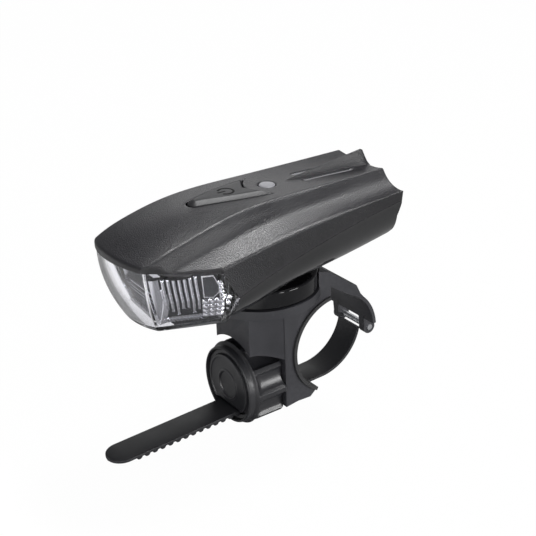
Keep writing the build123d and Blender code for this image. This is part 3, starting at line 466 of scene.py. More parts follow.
class Tree:
    """A node tree with short calls to fill it."""

    def __init__(self, tree: NodeTree) -> None:
        """Wraps the tree and empties it."""
        self.tree = tree
        tree.nodes.clear()

    @classmethod
    def of(cls, holder: Material | bpy.types.World) -> "Tree":
        """The emptied tree of a material or a world."""
        holder.use_nodes = True
        return cls(holder.node_tree)

    def add(self, kind: str, feeds: dict | None = None, **settings: object) -> Node:
        """Adds a node.

        Args:
            kind: the node's type.
            feeds: value or output socket for each input, by its name or number.
            settings: attributes set on the node.

        Returns:
            The new node.
        """
        node = self.tree.nodes.new(kind)
        for key, value in settings.items():
            setattr(node, key, value)
        for key, value in (feeds or {}).items():
            if isinstance(value, Socket):
                self.tree.links.new(value, node.inputs[key])
            else:
                node.inputs[key].default_value = value
        return node

    def math(self, operation: str, first: object, second: object = 0.0) -> Socket:
        """One arithmetic step on two numbers or sockets."""
        return self.add("ShaderNodeMath", {0: first, 1: second}, operation=operation).outputs[0]

    def spread(self, value: Socket, low: float, high: float, start: object = 0.0,
               end: object = 1.0) -> Socket:
        """Maps low..high to start..end, held at the ends."""
        feeds = {"Value": value, "From Min": low, "From Max": high, "To Min": start, "To Max": end}
        return self.add("ShaderNodeMapRange", feeds).outputs[0]

    def noise(self, where: Socket, scale: object, **more: float) -> Socket:
        """Cloudy noise at a scale."""
        return self.add("ShaderNodeTexNoise", {"Vector": where, "Scale": scale, **more}).outputs[0]

    def blend(self, share: object, first: object, second: object) -> Socket:
        """Mixes two colours by a share."""
        feeds = {"Factor": share, "A": first, "B": second}
        return self.add("ShaderNodeMix", feeds, data_type="RGBA").outputs["Result"]

    def relief(self, height: Socket, depth: float, **under: Socket) -> Socket:
        """Normal of bumps that stand so many millimetres high, over the Normal given."""
        feeds = {"Height": height, "Strength": 1.0, "Distance": depth * MM, **under}
        return self.add("ShaderNodeBump", feeds).outputs[0]

    def effect(self, group: NodeTree, where: Socket, **values: float) -> bpy.types.bpy_prop_collection:
        """Places a shared group with its own values, and gives its outputs."""
        return self.add("ShaderNodeGroup", {"Vector": where, **values}, node_tree=group).outputs

    def object_place(self) -> Socket:
        """Object coordinates."""
        return self.add("ShaderNodeTexCoord").outputs["Object"]


class Effects:
    """Node groups that several finishes share, each built once."""

    @staticmethod
    def group(name: str, values: dict[str, float], *outputs: str) -> tuple[Tree, Socket, list[Socket]]:
        """Starts a group that takes a vector and named numbers, and gives numbers.

        Args:
            name: the group's name.
            values: start value of each number that it takes.
            outputs: names of the numbers that it gives.

        Returns:
            The group's tree, its vector's socket and its numbers' sockets.
        """
        tree = bpy.data.node_groups.new(name, "ShaderNodeTree")
        tree.interface.new_socket("Vector", in_out="INPUT", socket_type="NodeSocketVector")
        for key, value in values.items():
            socket = tree.interface.new_socket(key, in_out="INPUT", socket_type="NodeSocketFloat")
            socket.default_value = value
        for key in outputs:
            tree.interface.new_socket(key, in_out="OUTPUT", socket_type="NodeSocketFloat")
        work = Tree(tree)
        given = work.add("NodeGroupInput").outputs
        return work, given["Vector"], [given[key] for key in values]

    @classmethod
    def build(cls) -> dict[str, NodeTree]:
        """Every shared group by its name."""
        made = (cls.grain(), cls.drift(), cls.edge_catch(), cls.hairlines(), cls.specks())
        return {group.name: group for group in made}

    @classmethod
    def grain(cls) -> NodeTree:
        """Moulded leather-like grain: rounded cells with finer noise on them.

        Returns:
            The group.
        """
        t, where, (scale,) = cls.group("moulded_grain", {"Scale": 2200.0}, "Height")
        feeds = {"Vector": where, "Scale": scale, "Smoothness": 0.6}
        cells = t.add("ShaderNodeTexVoronoi", feeds, feature="SMOOTH_F1").outputs["Distance"]
        fine = t.noise(where, t.math("MULTIPLY", scale, 1.7), Detail=3.0)
        height = t.math("ADD", t.math("MULTIPLY", cells, -0.9), t.math("MULTIPLY", fine, 0.55))
        t.add("NodeGroupOutput", {"Height": height})
        return t.tree

    @classmethod
    def drift(cls) -> NodeTree:
        """Slow uneven drift over a surface, for roughness and tone.

        Returns:
            The group.
        """
        values = {"Scale": 60.0, "Low": 0.3, "High": 0.4}
        t, where, (scale, low, high) = cls.group("surface_drift", values, "Value", "Mask")
        mask = t.spread(t.noise(where, scale, Detail=5.0, Roughness=0.6), 0.32, 0.68)
        t.add("NodeGroupOutput", {"Mask": mask, "Value": t.spread(mask, 0.0, 1.0, low, high)})
        return t.tree

    @classmethod
    def edge_catch(cls) -> NodeTree:
        """Mask of the outward edges, where a lighter tone is painted on as an edge highlight.

        Returns:
            The group.
        """
        t, where, (amount,) = cls.group("edge_catch", {"Amount": 1.0}, "Mask")
        sharp = t.spread(t.add("ShaderNodeNewGeometry").outputs["Pointiness"], 0.515, 0.58)
        broken = t.spread(t.noise(where, 700.0, Detail=3.0), 0.35, 0.6, 0.35, 1.0)
        t.add("NodeGroupOutput", {"Mask": t.math("MULTIPLY", t.math("MULTIPLY", sharp, broken), amount)})
        return t.tree

    @classmethod
    def hairlines(cls) -> NodeTree:
        """Fine straight scratches, from noise drawn out along one direction.

        Returns:
            The group.
        """
        t, where, (scale,) = cls.group("hairlines", {"Scale": 900.0}, "Height")
        drawn = t.add("ShaderNodeMapping", {"Vector": where, "Scale": (0.06, 1.0, 1.0)}).outputs[0]
        t.add("NodeGroupOutput", {"Height": t.noise(drawn, scale, Detail=4.0)})
        return t.tree

    @classmethod
    def specks(cls) -> NodeTree:
        """Sparse fine dust specks.

        Returns:
            The group.
        """
        t, where, (scale,) = cls.group("dust_specks", {"Scale": 900.0}, "Mask")
        dots = t.add("ShaderNodeTexVoronoi", {"Vector": where, "Scale": scale}).outputs["Distance"]
        clouds = t.spread(t.noise(where, 120.0), 0.52, 0.66)
        t.add("NodeGroupOutput", {"Mask": t.math("MULTIPLY", t.spread(dots, 0.16, 0.08), clouds)})
        return t.tree


@dataclass(frozen=True)
class Finish:
    """A solid finish: plastic, rubber or metal, with grain, drift, a painted edge highlight and specks.

    Spread is how far the roughness drifts either way, and lift how much brighter the drifting tone
    gets. Grain and lines are the heights of the moulded cells and of the hairlines in millimetres,
    and cells the number of cells in a metre.
    """

    name: str
    colour: Colour
    rough: float
    spread: float = 0.06
    grain: float = 0.0
    cells: float = 2200.0
    metal: float = 0.0
    coat: float = 0.0
    lift: float = 1.25
    lines: float = 0.0
    specular: float = 0.5
    drift_scale: float = 70.0
    dust_scale: float = 1100.0
    line_scale: float = 1600.0
    coat_rough: float = 0.06
    # share of the painted edge highlight in the colour
    edge_highlight_share: float = 0.35
    dust_share: float = 0.10
    dust_rough: float = 0.12
    dust_colour: Colour = (0.40, 0.40, 0.41)

    def toned(self, factor: float, more: float) -> tuple[float, ...]:
        """The finish's colour times a factor and a little more, with a full alpha."""
        return (*(min(1.0, c * factor + more) for c in self.colour), 1.0)

    def build(self, effects: dict[str, NodeTree]) -> Material:
        """Makes the material.

        Args:
            effects: the shared node groups.

        Returns:
            The material.
        """
        material = bpy.data.materials.new(self.name)
        t = Tree.of(material)
        where = t.object_place()
        low, high = max(0.02, self.rough - self.spread), min(1.0, self.rough + self.spread)
        drift = t.effect(effects["surface_drift"], where, Scale=self.drift_scale, Low=low, High=high)
        edge = t.effect(effects["edge_catch"], where, Amount=1.0)["Mask"]
        dust = t.effect(effects["dust_specks"], where, Scale=self.dust_scale)["Mask"]
        tone = t.blend(drift["Mask"], (*self.colour, 1.0), self.toned(self.lift, 0.004))
        # Painted highlight: the outward edges are blended towards a lighter tone.
        edge_lit_tone = t.blend(t.math("MULTIPLY", edge, self.edge_highlight_share), tone, self.toned(1.6, 0.02))
        dusty = t.blend(t.math("MULTIPLY", dust, self.dust_share), edge_lit_tone, (*self.dust_colour, 1.0))
        rough = t.math("ADD", drift["Value"], t.math("MULTIPLY", dust, self.dust_rough))
        feeds = {"Base Color": dusty, "Roughness": rough, "Metallic": self.metal,
                 "Specular IOR Level": self.specular, "Coat Weight": self.coat,
                 "Coat Roughness": self.coat_rough}
        under = {}
        if self.grain:
            cells = t.effect(effects["moulded_grain"], where, Scale=self.cells)["Height"]
            under = {"Normal": t.relief(cells, self.grain)}
        if self.lines:
            marks = t.effect(effects["hairlines"], where, Scale=self.line_scale)["Height"]
            under = {"Normal": t.relief(marks, self.lines, **under)}
        shader = t.add("ShaderNodeBsdfPrincipled", feeds | under)
        t.add("ShaderNodeOutputMaterial", {"Surface": shader.outputs[0]})
        return material


@dataclass(frozen=True)
class ClearFinish:
    """Clear polycarbonate: refracts, and lets lamp light through so that what is inside stays lit."""

    name: str
    tint: Colour
    rough: float
    spread: float = 0.03
    drift_scale: float = 60.0
    refraction: float = 1.5
    passed: float = 0.97
    lit_share: float = 0.9

    def build(self, effects: dict[str, NodeTree]) -> Material:
        """Makes the material.

        Args:
            effects: the shared node groups.

        Returns:
            The material.
        """
        material = bpy.data.materials.new(self.name)
        t = Tree.of(material)
        drift = t.effect(effects["surface_drift"], t.object_place(), Scale=self.drift_scale,
                         Low=self.rough, High=self.rough + self.spread)
        shader = t.add("ShaderNodeBsdfPrincipled", {
            "Base Color": (*self.tint, 1.0), "Roughness": drift["Value"], "Transmission Weight": 1.0,
            "IOR": self.refraction})
        passing = (*(c * self.passed for c in self.tint), 1.0)
        open_path = t.add("ShaderNodeBsdfTransparent", {"Color": passing})
        share = t.math("MULTIPLY", t.add("ShaderNodeLightPath").outputs["Is Shadow Ray"], self.lit_share)
        mixed = t.add("ShaderNodeMixShader", {0: share, 1: shader.outputs[0], 2: open_path.outputs[0]})
        t.add("ShaderNodeOutputMaterial", {"Surface": mixed.outputs[0]})
        return material


class Palette:
    """Every finish on the light, by its maker's name."""

    SOLID = (
        Finish("grained_shell", (0.0104, 0.0100, 0.0120), 0.36, grain=0.095, cells=3000.0, specular=0.55),
        # The groove ribs' light grey is a painted highlight that stands in for the lit groove wall.
        Finish("rib_plastic", (0.20, 0.20, 0.21), 0.30, grain=0.02, cells=3000.0),
        Finish("gloss_shell", (0.008, 0.008, 0.009), 0.13, spread=0.03, grain=0.002, cells=900.0, coat=0.85),
        Finish("gloss_drum", (0.005, 0.005, 0.006), 0.11, spread=0.03, grain=0.002, cells=500.0,
               specular=0.38),
        Finish("bracket_plastic", (0.029, 0.029, 0.034), 0.44, grain=0.014, cells=4600.0),
        Finish("knob_plastic", (0.019, 0.019, 0.022), 0.34, grain=0.002, cells=2400.0, specular=0.7),
        Finish("button_rubber", (0.012, 0.012, 0.0135), 0.50, grain=0.030, cells=3600.0),
        Finish("soft_rubber", (0.024, 0.024, 0.025), 0.62, grain=0.016, cells=4200.0),
        Finish("strap_rubber", (0.018, 0.018, 0.021), 0.50, grain=0.012, cells=4800.0),
        Finish("symbol_paint", (0.002, 0.002, 0.002), 0.65, grain=0.004, cells=4200.0, specular=0.12),
        Finish("mirror_plate", (0.74, 0.74, 0.77), 0.07, spread=0.03, metal=1.0, lift=1.02, lines=0.0006),
        Finish("satin_silver", (0.82, 0.82, 0.85), 0.24, spread=0.05, metal=1.0, lift=1.03, lines=0.0010),
        Finish("bowl_mirror", (0.46, 0.46, 0.48), 0.14, spread=0.04, metal=1.0, lift=1.05, lines=0.0008),
        Finish("dark_insert", (0.030, 0.031, 0.034), 0.22, spread=0.05, grain=0.004, cells=2000.0),
        Finish("phosphor", (0.93, 0.80, 0.25), 0.35, grain=0.01, cells=6000.0, lift=1.05),
        Finish("board_white", (0.80, 0.81, 0.80), 0.35, grain=0.004, cells=3000.0, lift=1.05),
        Finish("board_green", (0.015, 0.11, 0.045), 0.30, grain=0.006, cells=1800.0),
        Finish("raw_aluminium", (0.66, 0.67, 0.69), 0.32, metal=1.0, lift=1.08, lines=0.006),
        Finish("foil_pouch", (0.70, 0.71, 0.74), 0.26, metal=1.0, lift=1.06, lines=0.010),
        Finish("plated_steel", (0.56, 0.57, 0.59), 0.28, metal=1.0, lift=1.10, lines=0.004),
        Finish("switch_plastic", (0.03, 0.03, 0.034), 0.42, grain=0.006),
        Finish("plunger_plastic", (0.45, 0.05, 0.04), 0.45, grain=0.006),
        Finish("nylon", (0.72, 0.71, 0.66), 0.45, grain=0.008, lift=1.06),
        Finish("wire_jacket", (0.40, 0.03, 0.025), 0.42, grain=0.006),
        Finish("milky_window", (0.17, 0.17, 0.183), 0.38, grain=0.004, cells=1500.0, lift=1.12),
    )
    CLEAR = (ClearFinish("clear_lens", (0.945, 0.945, 0.97), 0.012),)

    def __init__(self) -> None:
        """Builds the shared effects and every finish."""
        effects = Effects.build()
        self.made = {f.name: f.build(effects) for f in (*self.SOLID, *self.CLEAR)}

    def __getitem__(self, name: str) -> Material:
        """The material of that name."""
        return self.made[name]


PALETTE = Palette()


def paint(piece: Piece, finish: str) -> None:
    """Gives a piece one finish in place of its own."""
    piece.data.materials.clear()
    piece.data.materials.append(PALETTE[finish])


def dress(piece: Piece, finish: str, body: Body, slot: str, *nodes: str) -> None:
    """Gives a piece its finish and body, and hides the frame nodes that it stands for.

    Args:
        piece: the finished object.
        finish: name of its finish.
        body: the body that it rides on.
        slot: its material slot; not used.
        nodes: the frame nodes that it replaces.
    """
    paint(piece, finish)
    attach(piece, body.value)
    if nodes:
        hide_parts(*nodes)
    LOG.info("%s: %d faces", piece.name, len(piece.data.polygons))


# ---- the casing's form ----

CROWN_Z, RIDGE_X, RIDGE_Z, EDGE_X, EDGE_Z, SIDE_X, SIDE_Z, BELLY_X, BELLY_Z, KEEL_Z = range(1, 11)


@dataclass
class CasingForm:
    """The casing's cross-sections and outlines, which its shells, lens and controls share."""

    stations: Array = field(default_factory=lambda: np.array([
        # y, crown z, ridge x, ridge z, edge x, edge z, side x, side z, belly x, belly z, keel z
        [-76, 46.6, 12.4, 43.4, 20.5, 36.0, 21.6, 31.0, 16.8, 23.4, 23.0],
        [-66, 50.6, 14.2, 47.9, 21.0, 38.8, 21.8, 31.4, 17.0, 23.8, 23.3],
        [-56, 53.4, 14.5, 50.9, 21.4, 41.2, 22.0, 31.8, 17.2, 24.1, 23.5],
        [-46, 55.0, 14.0, 53.1, 21.7, 43.1, 22.0, 32.2, 17.3, 24.5, 23.8],
        [-34, 55.3, 12.5, 54.6, 21.9, 45.3, 21.4, 34.8, 17.3, 26.2, 25.4],
        [-20, 54.7, 11.4, 54.8, 21.5, 46.9, 20.9, 38.4, 17.0, 28.9, 27.9],
        [0, 53.7, 11.2, 54.4, 20.7, 48.1, 20.2, 42.2, 16.4, 31.3, 30.3],
        [28, 51.7, 11.0, 54.0, 19.3, 48.7, 18.8, 45.6, 15.2, 34.9, 33.8],
    ], float))
    flute_depth: float = 1.55
    valley_share: float = 0.85
    valley_middle: float = 0.46
    valley_half: float = 0.5
    valley_top: float = 1.06
    valley_round: float = 0.0036
    nose_y: float = -72.5
    corner: Pair = (13.6, -69.0)
    cheek: Pair = (21.5, -47.0)
    shoulder_slope: float = 1.5
    tail_plan: tuple[Pair, ...] = ((0.0, 23.7), (11.0, 21.3), (19.5, 22.3), (30.0, 22.3))
    lip_front_z: float = 45.2
    lip_rear_z: float = 41.6
    tip: Pair = (-42.0, 32.4)
    heel: Pair = (-45.5, 23.0)
    seam: tuple[Pair, ...] = ((-42.0, 32.4), (-12.0, 40.2), (22.0, 45.2))
    bulge: Pair = (0.82, 0.42)
    housing: tuple[Pair, Pair] = ((32.2, 37.0), (17.6, 23.7))
    rake: tuple[tuple[float, ...], ...] = ((32.2, 35.4, 40.5, 44.7), (17.6, 20.4, 20.4, 22.3))
    housing_edge: Pair = (7.8, 9.2)

    def read(self, y: Array, *columns: int) -> list[Array]:
        """Columns of the stations at each y, on their natural cubics."""
        return [through_knots(self.stations[:, 0], self.stations[:, column], y) for column in columns]

    def crown_height(self, x: Array, y: Array) -> Array:
        """The roof between its ridges: crown plus a parabola in x that reaches the ridge's height."""
        crown, ridge_x, ridge_z = self.read(y, CROWN_Z, RIDGE_X, RIDGE_Z)
        return crown + (ridge_z - crown) * (x / ridge_x) ** 2

    def flute_point(self, share: Array, y: Array) -> tuple[Array, Array]:
        """Across the flute: the chord from ridge to edge, pushed in by a dip that is a parabola at the
        tail and turns to a rounded valley towards the nose.

        Args:
            share: place across the flute, 0 at the ridge and 1 at the edge.
            y: place along the casing.

        Returns:
            x and z of each point.
        """
        ridge_x, ridge_z, edge_x, edge_z = self.read(y, RIDGE_X, RIDGE_Z, EDGE_X, EDGE_Z)
        run_x, run_z = edge_x - ridge_x, edge_z - ridge_z
        chord = np.hypot(run_x, run_z)
        arc = 4.0 * share * (1.0 - share)
        offset = (share - self.valley_middle) / self.valley_half
        valley = np.clip(self.valley_top - np.sqrt(offset * offset + self.valley_round), 0.0, 1.0)
        valley = valley * ease(0.0, 0.34, share) * ease(0.0, 0.16, 1.0 - share)
        blend = self.valley_share * ease(14.0, -14.0, y)
        fade = 0.55 + 0.45 * ease(-72.0, -60.0, y)
        dip = self.flute_depth * (arc * (1.0 - blend) + valley * blend) * fade
        return ridge_x + run_x * share + dip * run_z / chord, ridge_z + run_z * share - dip * run_x / chord

    def seam_z(self, y: Array) -> Array:
        """The seam's height: a circle through its three points."""
        middle, radius = circle_through(*self.seam)
        return middle[1] + np.sqrt(np.maximum(radius ** 2 - (y - middle[0]) ** 2, 1.0))

    def side_x(self, z: Array, y: Array) -> Array:
        """The side wall's x at a height, on the straight line from edge to side."""
        edge_x, edge_z, side_x, side_z = self.read(y, EDGE_X, EDGE_Z, SIDE_X, SIDE_Z)
        return edge_x + (side_x - edge_x) * np.clip((edge_z - z) / (edge_z - side_z), 0.0, 1.2)

    def side_point(self, share: Array, y: Array) -> tuple[Array, Array]:
        """Down the side from the rolled edge to the seam: x and z of each point."""
        z = (1.0 - share) * self.read(y, EDGE_Z)[0] + share * self.seam_z(y)
        return self.side_x(z, y), z

    def wall_point(self, share: Array, y: Array) -> tuple[Array, Array]:
        """Down the lower wall from the seam to the belly: a parabola through the bulge.

        Args:
            share: place down the wall, 0 at the seam and 1 at the belly.
            y: place along the casing.

        Returns:
            x and z of each point.
        """
        seam_z = self.seam_z(y)
        seam_x = self.side_x(seam_z, y)
        side_x, side_z, belly_x, belly_z = self.read(y, SIDE_X, SIDE_Z, BELLY_X, BELLY_Z)
        bulge_x = belly_x + (side_x - belly_x) * self.bulge[0]
        bulge_z = belly_z + (side_z - belly_z) * self.bulge[1]
        a, b, c = (1 - share) * (1 - 2 * share), 4 * share * (1 - share), share * (2 * share - 1)
        return seam_x * a + bulge_x * b + belly_x * c, seam_z * a + bulge_z * b + belly_z * c

    def belly_height(self, x: Array, y: Array) -> Array:
        """The underside: keel plus a parabola in x that reaches the belly's edge."""
        belly_x, belly_z, keel = self.read(y, BELLY_X, BELLY_Z, KEEL_Z)
        return keel + (belly_z - keel) * (x / belly_x) ** 2

    def nose_plan(self, x: Array) -> Array:
        """Front limit in plan: an arc across the nose, straight cheeks, then a steep shoulder.

        Args:
            x: distance from the middle.

        Returns:
            y of the front at each x.
        """
        (corner_x, corner_y), (cheek_x, cheek_y) = self.corner, self.cheek
        bow = corner_y - self.nose_y
        radius = (corner_x ** 2 + bow ** 2) / (2 * bow)
        arc = self.nose_y + radius - np.sqrt(np.maximum(radius ** 2 - np.minimum(x, corner_x) ** 2, 0.0))
        cheek = corner_y + (x - corner_x) * (cheek_y - corner_y) / (cheek_x - corner_x)
        shoulder = cheek_y + (x - cheek_x) * self.shoulder_slope
        return np.where(x < corner_x, arc, np.where(x < cheek_x, cheek, shoulder))

    def tail_limit(self, x: Array) -> Array:
        """Rear limit in plan: a W with the middle and the edges furthest back."""
        return np.interp(x, *zip(*self.tail_plan))

    def lip_z(self, y: Array) -> Array:
        """Height of the roof's lower lip above the lens."""
        share = (y - self.cheek[1]) / (self.corner[1] - self.cheek[1])
        return self.lip_rear_z + share * (self.lip_front_z - self.lip_rear_z)

    def tail_face(self, x: Array, z: Array) -> Array:
        """How far back the lower tail reaches: chin, port housing in the middle, raked corners beside it.

        Args:
            x: distance from the middle.
            z: height.

        Returns:
            y of the tail at each point.
        """
        middle, corner = np.interp(z, *self.housing), np.interp(z, *self.rake)
        share = ease(*self.housing_edge, np.abs(x))
        return np.minimum(middle * (1 - share) + corner * share, self.tail_limit(np.abs(x)))


FORM = CasingForm()


@dataclass
class PadForm:
    """The button's outline in plan, which its hole in the roof shares: arcs round tip, flanks and notch."""

    tip_y: float = -44.2
    tip_radius: float = 2.4
    rear: Pair = (7.1, -19.9)
    notch_y: float = -23.5
    flank: Pair = (0.97, 0.24)
    flank_bow: float = 0.62
    rear_grow: Pair = (2.2, 1.3)
    count: int = 26

    def half(self, grow: float) -> Array:
        """Half of the outline, from the front tip round the flank to the rear notch.

        Args:
            grow: how far outside the button's own edge.

        Returns:
            Rows of x and y, x from 0 upwards and back to 0.
        """
        radius, centre = self.tip_radius + grow, self.tip_y + self.tip_radius
        flank = (radius * self.flank[0], centre - radius * self.flank[1])
        rear = (self.rear[0] + grow, self.rear[1] + grow * self.rear_grow[0 if grow > 0 else 1])
        middle = (flank[0] + (rear[0] - flank[0]) * self.flank_bow, (flank[1] + rear[1]) / 2)
        tip = arc_between((-flank[0], flank[1]), (0, centre - radius), flank, self.count + 1)
        side = arc_between(flank, middle, rear, self.count)
        notch = arc_between(rear, (0, self.notch_y + grow), (-rear[0], rear[1]), 2 * self.count + 1)
        return np.vstack([tip[len(tip) // 2: -1], side[:-1], notch[: self.count + 1]])

    def closed(self, grow: float) -> Array:
        """The whole outline: the right half and its mirror image."""
        half = self.half(grow)
        return np.vstack([half, (half * np.array([-1.0, 1.0]))[-2:0:-1]])


PAD = PadForm()


@dataclass
class Trim:
    """Cuts and sinks outlines into a grid of points whose height is a function of two plan numbers.

    The cell is the grid's spacing where it is cut. A point's signed distance is that from the edge of
    the nearest hole, below zero inside it, and far where there is none.
    """

    plan: Array
    cell: float
    signed: Array = field(init=False)
    far: float = 9.0
    parked: float = 500.0
    margin: float = 1.5
    snap_share: float = 0.52

    def __post_init__(self) -> None:
        """Starts with nothing cut."""
        self.signed = np.full(len(self.plan), self.far)

    @classmethod
    def over(cls, grid: Array, columns: int, cell: float) -> tuple["Trim", Array]:
        """Prepares the first columns of a grid for cuts, with its other points parked out of reach.

        Args:
            grid: the grid of points, rows by columns.
            columns: how many columns may be cut.
            cell: the grid's spacing there.

        Returns:
            The trim, and a mask of the points that it may move.
        """
        inside = np.repeat((np.arange(grid.shape[1]) < columns)[None], len(grid), 0).ravel()
        trim = cls(grid[..., :2].reshape(-1, 2).copy(), cell)
        trim.plan[~inside] += cls.parked
        return trim, inside

    def snap(self, outline: Array) -> Array:
        """Moves the points within about half a cell of an outline onto it.

        Args:
            outline: the closed outline.

        Returns:
            Signed distance of every point from the outline, 0 for those moved.
        """
        low, high = outline.min(0) - self.margin, outline.max(0) + self.margin
        near = np.flatnonzero(((self.plan > low) & (self.plan < high)).all(1))
        signed = np.full(len(self.plan), self.far)
        if len(near) == 0:
            return signed
        distance, nearest = outline_distance(self.plan[near], outline)
        close = np.abs(distance) < self.cell * self.snap_share
        self.plan[near[close]] = nearest[close]
        distance[close] = 0.0
        signed[near] = distance
        return signed

    def cut(self, outline: Array) -> Array:
        """Marks the inside of an outline as open.

        Args:
            outline: the closed outline.

        Returns:
            Signed distance of every point from the outline.
        """
        signed = self.snap(outline)
        self.signed = np.minimum(self.signed, signed)
        return signed

    def faces(self, quads: Array) -> tuple[Array, Array]:
        """The cells left outside every cut: whole ones as they are, cut ones as triangles.

        Args:
            quads: corner indices of the cells.

        Returns:
            The quads and the triangles that stay.
        """
        clear = self.signed[quads].min(1) > 0
        rest = quads[~clear]
        turn = (self.signed[rest[:, 1]] == 0) & (self.signed[rest[:, 3]] == 0)
        rest = np.where(turn[:, None], np.roll(rest, -1, axis=1), rest)
        triangles = np.vstack([rest[:, [0, 1, 2]], rest[:, [0, 2, 3]]])
        worth = self.signed[triangles]
        return quads[clear], triangles[(worth.min(1) >= 0) & (worth.max(1) > 0)]


@dataclass
class TopShell:
    """The matte roof: crown, two ridges with a flute on each side, lip, notched tail, fin and grooves."""

    wall: float = 1.6
    nose_round: float = 0.7
    tail_round: float = 0.45
    groove: tuple[float, float, float, float] = (2.2, 4.1, -4.5, 15.4)
    groove_corner: float = 0.7
    groove_depth: float = 0.5
    groove_bank: float = 0.35
    rib_pitch: float = 0.9
    rib_height: float = 0.30
    rib_foot: float = 0.04
    rib_inset: Pair = (0.22, 0.3)
    rib_plate: float = 0.3
    window: Pair = (-15.9, 2.85)
    pad_gap: float = 0.5
    rim_drop: float = 0.22
    rim_width: float = 0.5
    cell: float = 0.34
    seam_gap: float = 0.07
    lip_steps: int = 4
    tail_y: float = 23.7
    tail_corner: float = 19.5
    fin_start: float = -10.1
    fin_apex: Pair = (21.6, 57.5)
    fin_foot: float = 23.55
    fin_fall: float = 2.3
    fin_sunk: float = 0.05
    fin_half: Pair = (0.05, 1.85)

    def surface(self) -> tuple[Array, int, int, Array, Array]:
        """Half of the outer surface as a grid over rows and columns.

        Returns:
            The grid, the column index of the ridge and of the edge, and the front and rear y of each column.
        """
        # Shares across the crown, across the flute and down the side, whose first columns meet the lip.
        crown = stretches((0.0, 0.72, 32), (0.72, 0.94, 9), (0.94, 1.0, 4))
        flute = stretches((0.0, 0.10, 4), (0.10, 0.9, 16), (0.9, 1.0, 4))
        at = np.array([FORM.cheek[1]])
        top, seam = FORM.read(at, EDGE_Z)[0][0], FORM.seam_z(at)[0]
        first = (top - FORM.lip_rear_z) / (top - seam)
        side = stretches((0.0, first, self.lip_steps), (first, 1.0, 9))
        # Rows are closest at the rounded ends and round the controls.
        rows = np.concatenate([
            FORM.nose_y + np.array([0.0, 0.07, 0.18, 0.33, 0.52, 0.75]), np.arange(-71.0, -46.5, 0.8),
            np.arange(-46.0, -12.0, 0.36), np.arange(-12.0, -5.2, 0.6), np.arange(-5.0, 16.0, 0.42),
            np.arange(16.4, 23.0, 0.6), self.tail_y - np.array([0.5, 0.32, 0.18, 0.07, 0.0]),
        ])
        rows = (rows - FORM.nose_y) / (self.tail_y - FORM.nose_y)
        ridge, edge = len(crown) - 1, len(crown) + len(flute) - 2
        share = np.concatenate([crown, flute[1:], side[1:]])
        zone = np.repeat([0, 1, 2], [len(crown), len(flute) - 1, len(side) - 1])

        def section(y: Array) -> tuple[Array, Array]:
            """Points on the columns: a share of the ridge's x, of the flute or of the side.

            Args:
                y: place of each point.

            Returns:
                x and z of each point.
            """
            crown_x = np.minimum(share, 1.0) * FORM.read(y, RIDGE_X)[0]
            flute_x, flute_z = FORM.flute_point(share, y)
            side_x, side_z = FORM.side_point(share, y)
            x = np.where(zone == 0, crown_x, np.where(zone == 1, flute_x, side_x))
            return x, np.where(zone == 0, FORM.crown_height(crown_x, y), np.where(zone == 1, flute_z, side_z))

        # Both ends are found by repetition, since the section at an end depends on where the end is.
        front, rear = np.full(len(share), -60.0), np.full(len(share), 22.0)
        slope = (FORM.tip[1] - FORM.lip_rear_z) / (FORM.tip[0] - FORM.cheek[1])
        for _ in range(60):
            x, z = section(front)
            tip = np.maximum(FORM.cheek[1] + (z - FORM.lip_rear_z) / slope, FORM.cheek[1])
            limit = np.where(zone == 2, tip, np.minimum(FORM.nose_plan(x), FORM.cheek[1]))
            front = 0.6 * front + 0.4 * limit
            rear = FORM.tail_limit(section(rear)[0])
        front[edge] = FORM.cheek[1]
        rear[edge:] = FORM.tail_limit(np.array([self.tail_corner]))[0]
        y = front[None] + (rear - front)[None] * rows[:, None]
        x, z = section(y)
        return np.stack([x, y, z], -1), ridge, edge, front, rear

    def end_drop(self, y: Array, front: Array, rear: Array, fade: Array) -> Array:
        """Rounding of the roof at its front and rear: a quarter circle's drop near each end.

        Args:
            y: place of each point.
            front: where its column starts.
            rear: where its column ends.
            fade: share of the drop in its column.

        Returns:
            How far each point drops.
        """
        drop = np.zeros_like(y)
        for gap, radius in ((y - front, self.nose_round), (rear - y, self.tail_round)):
            inner = np.clip(radius - gap, 0.0, radius)
            drop += radius - np.sqrt(radius ** 2 - inner ** 2)
        return drop * fade

    def pierce(self, grid: Array, columns: int) -> Trim:
        """Sinks the grooves and opens the holes of the button and the window, moving the grid's points.

        Args:
            grid: half of the outer surface.
            columns: how many of its columns may be cut.

        Returns:
            The trim that knows the holes.
        """
        trim, inside = Trim.over(grid, columns, self.cell)
        window_y, window_r = self.window
        sunk = trim.snap(rounded_outline(*self.groove, self.groove_corner))
        hole = trim.cut(PAD.closed(self.pad_gap))
        pane = trim.cut(np.array([0.0, window_y]) + window_r * unit_circle(72))
        plan = trim.plan[inside]
        plan[:, 0] = np.maximum(plan[:, 0], 0.0)
        rim = np.minimum(hole[inside], pane[inside])
        height = FORM.crown_height(plan[:, 0], plan[:, 1])
        height -= self.rim_drop * np.clip(1.0 - rim / self.rim_width, 0.0, 1.0) ** 2 * (rim >= 0)
        height -= self.groove_depth * np.clip(-sunk[inside] / self.groove_bank, 0.0, 1.0)
        grid.reshape(-1, 3)[inside] = np.column_stack([plan, height])
        return trim

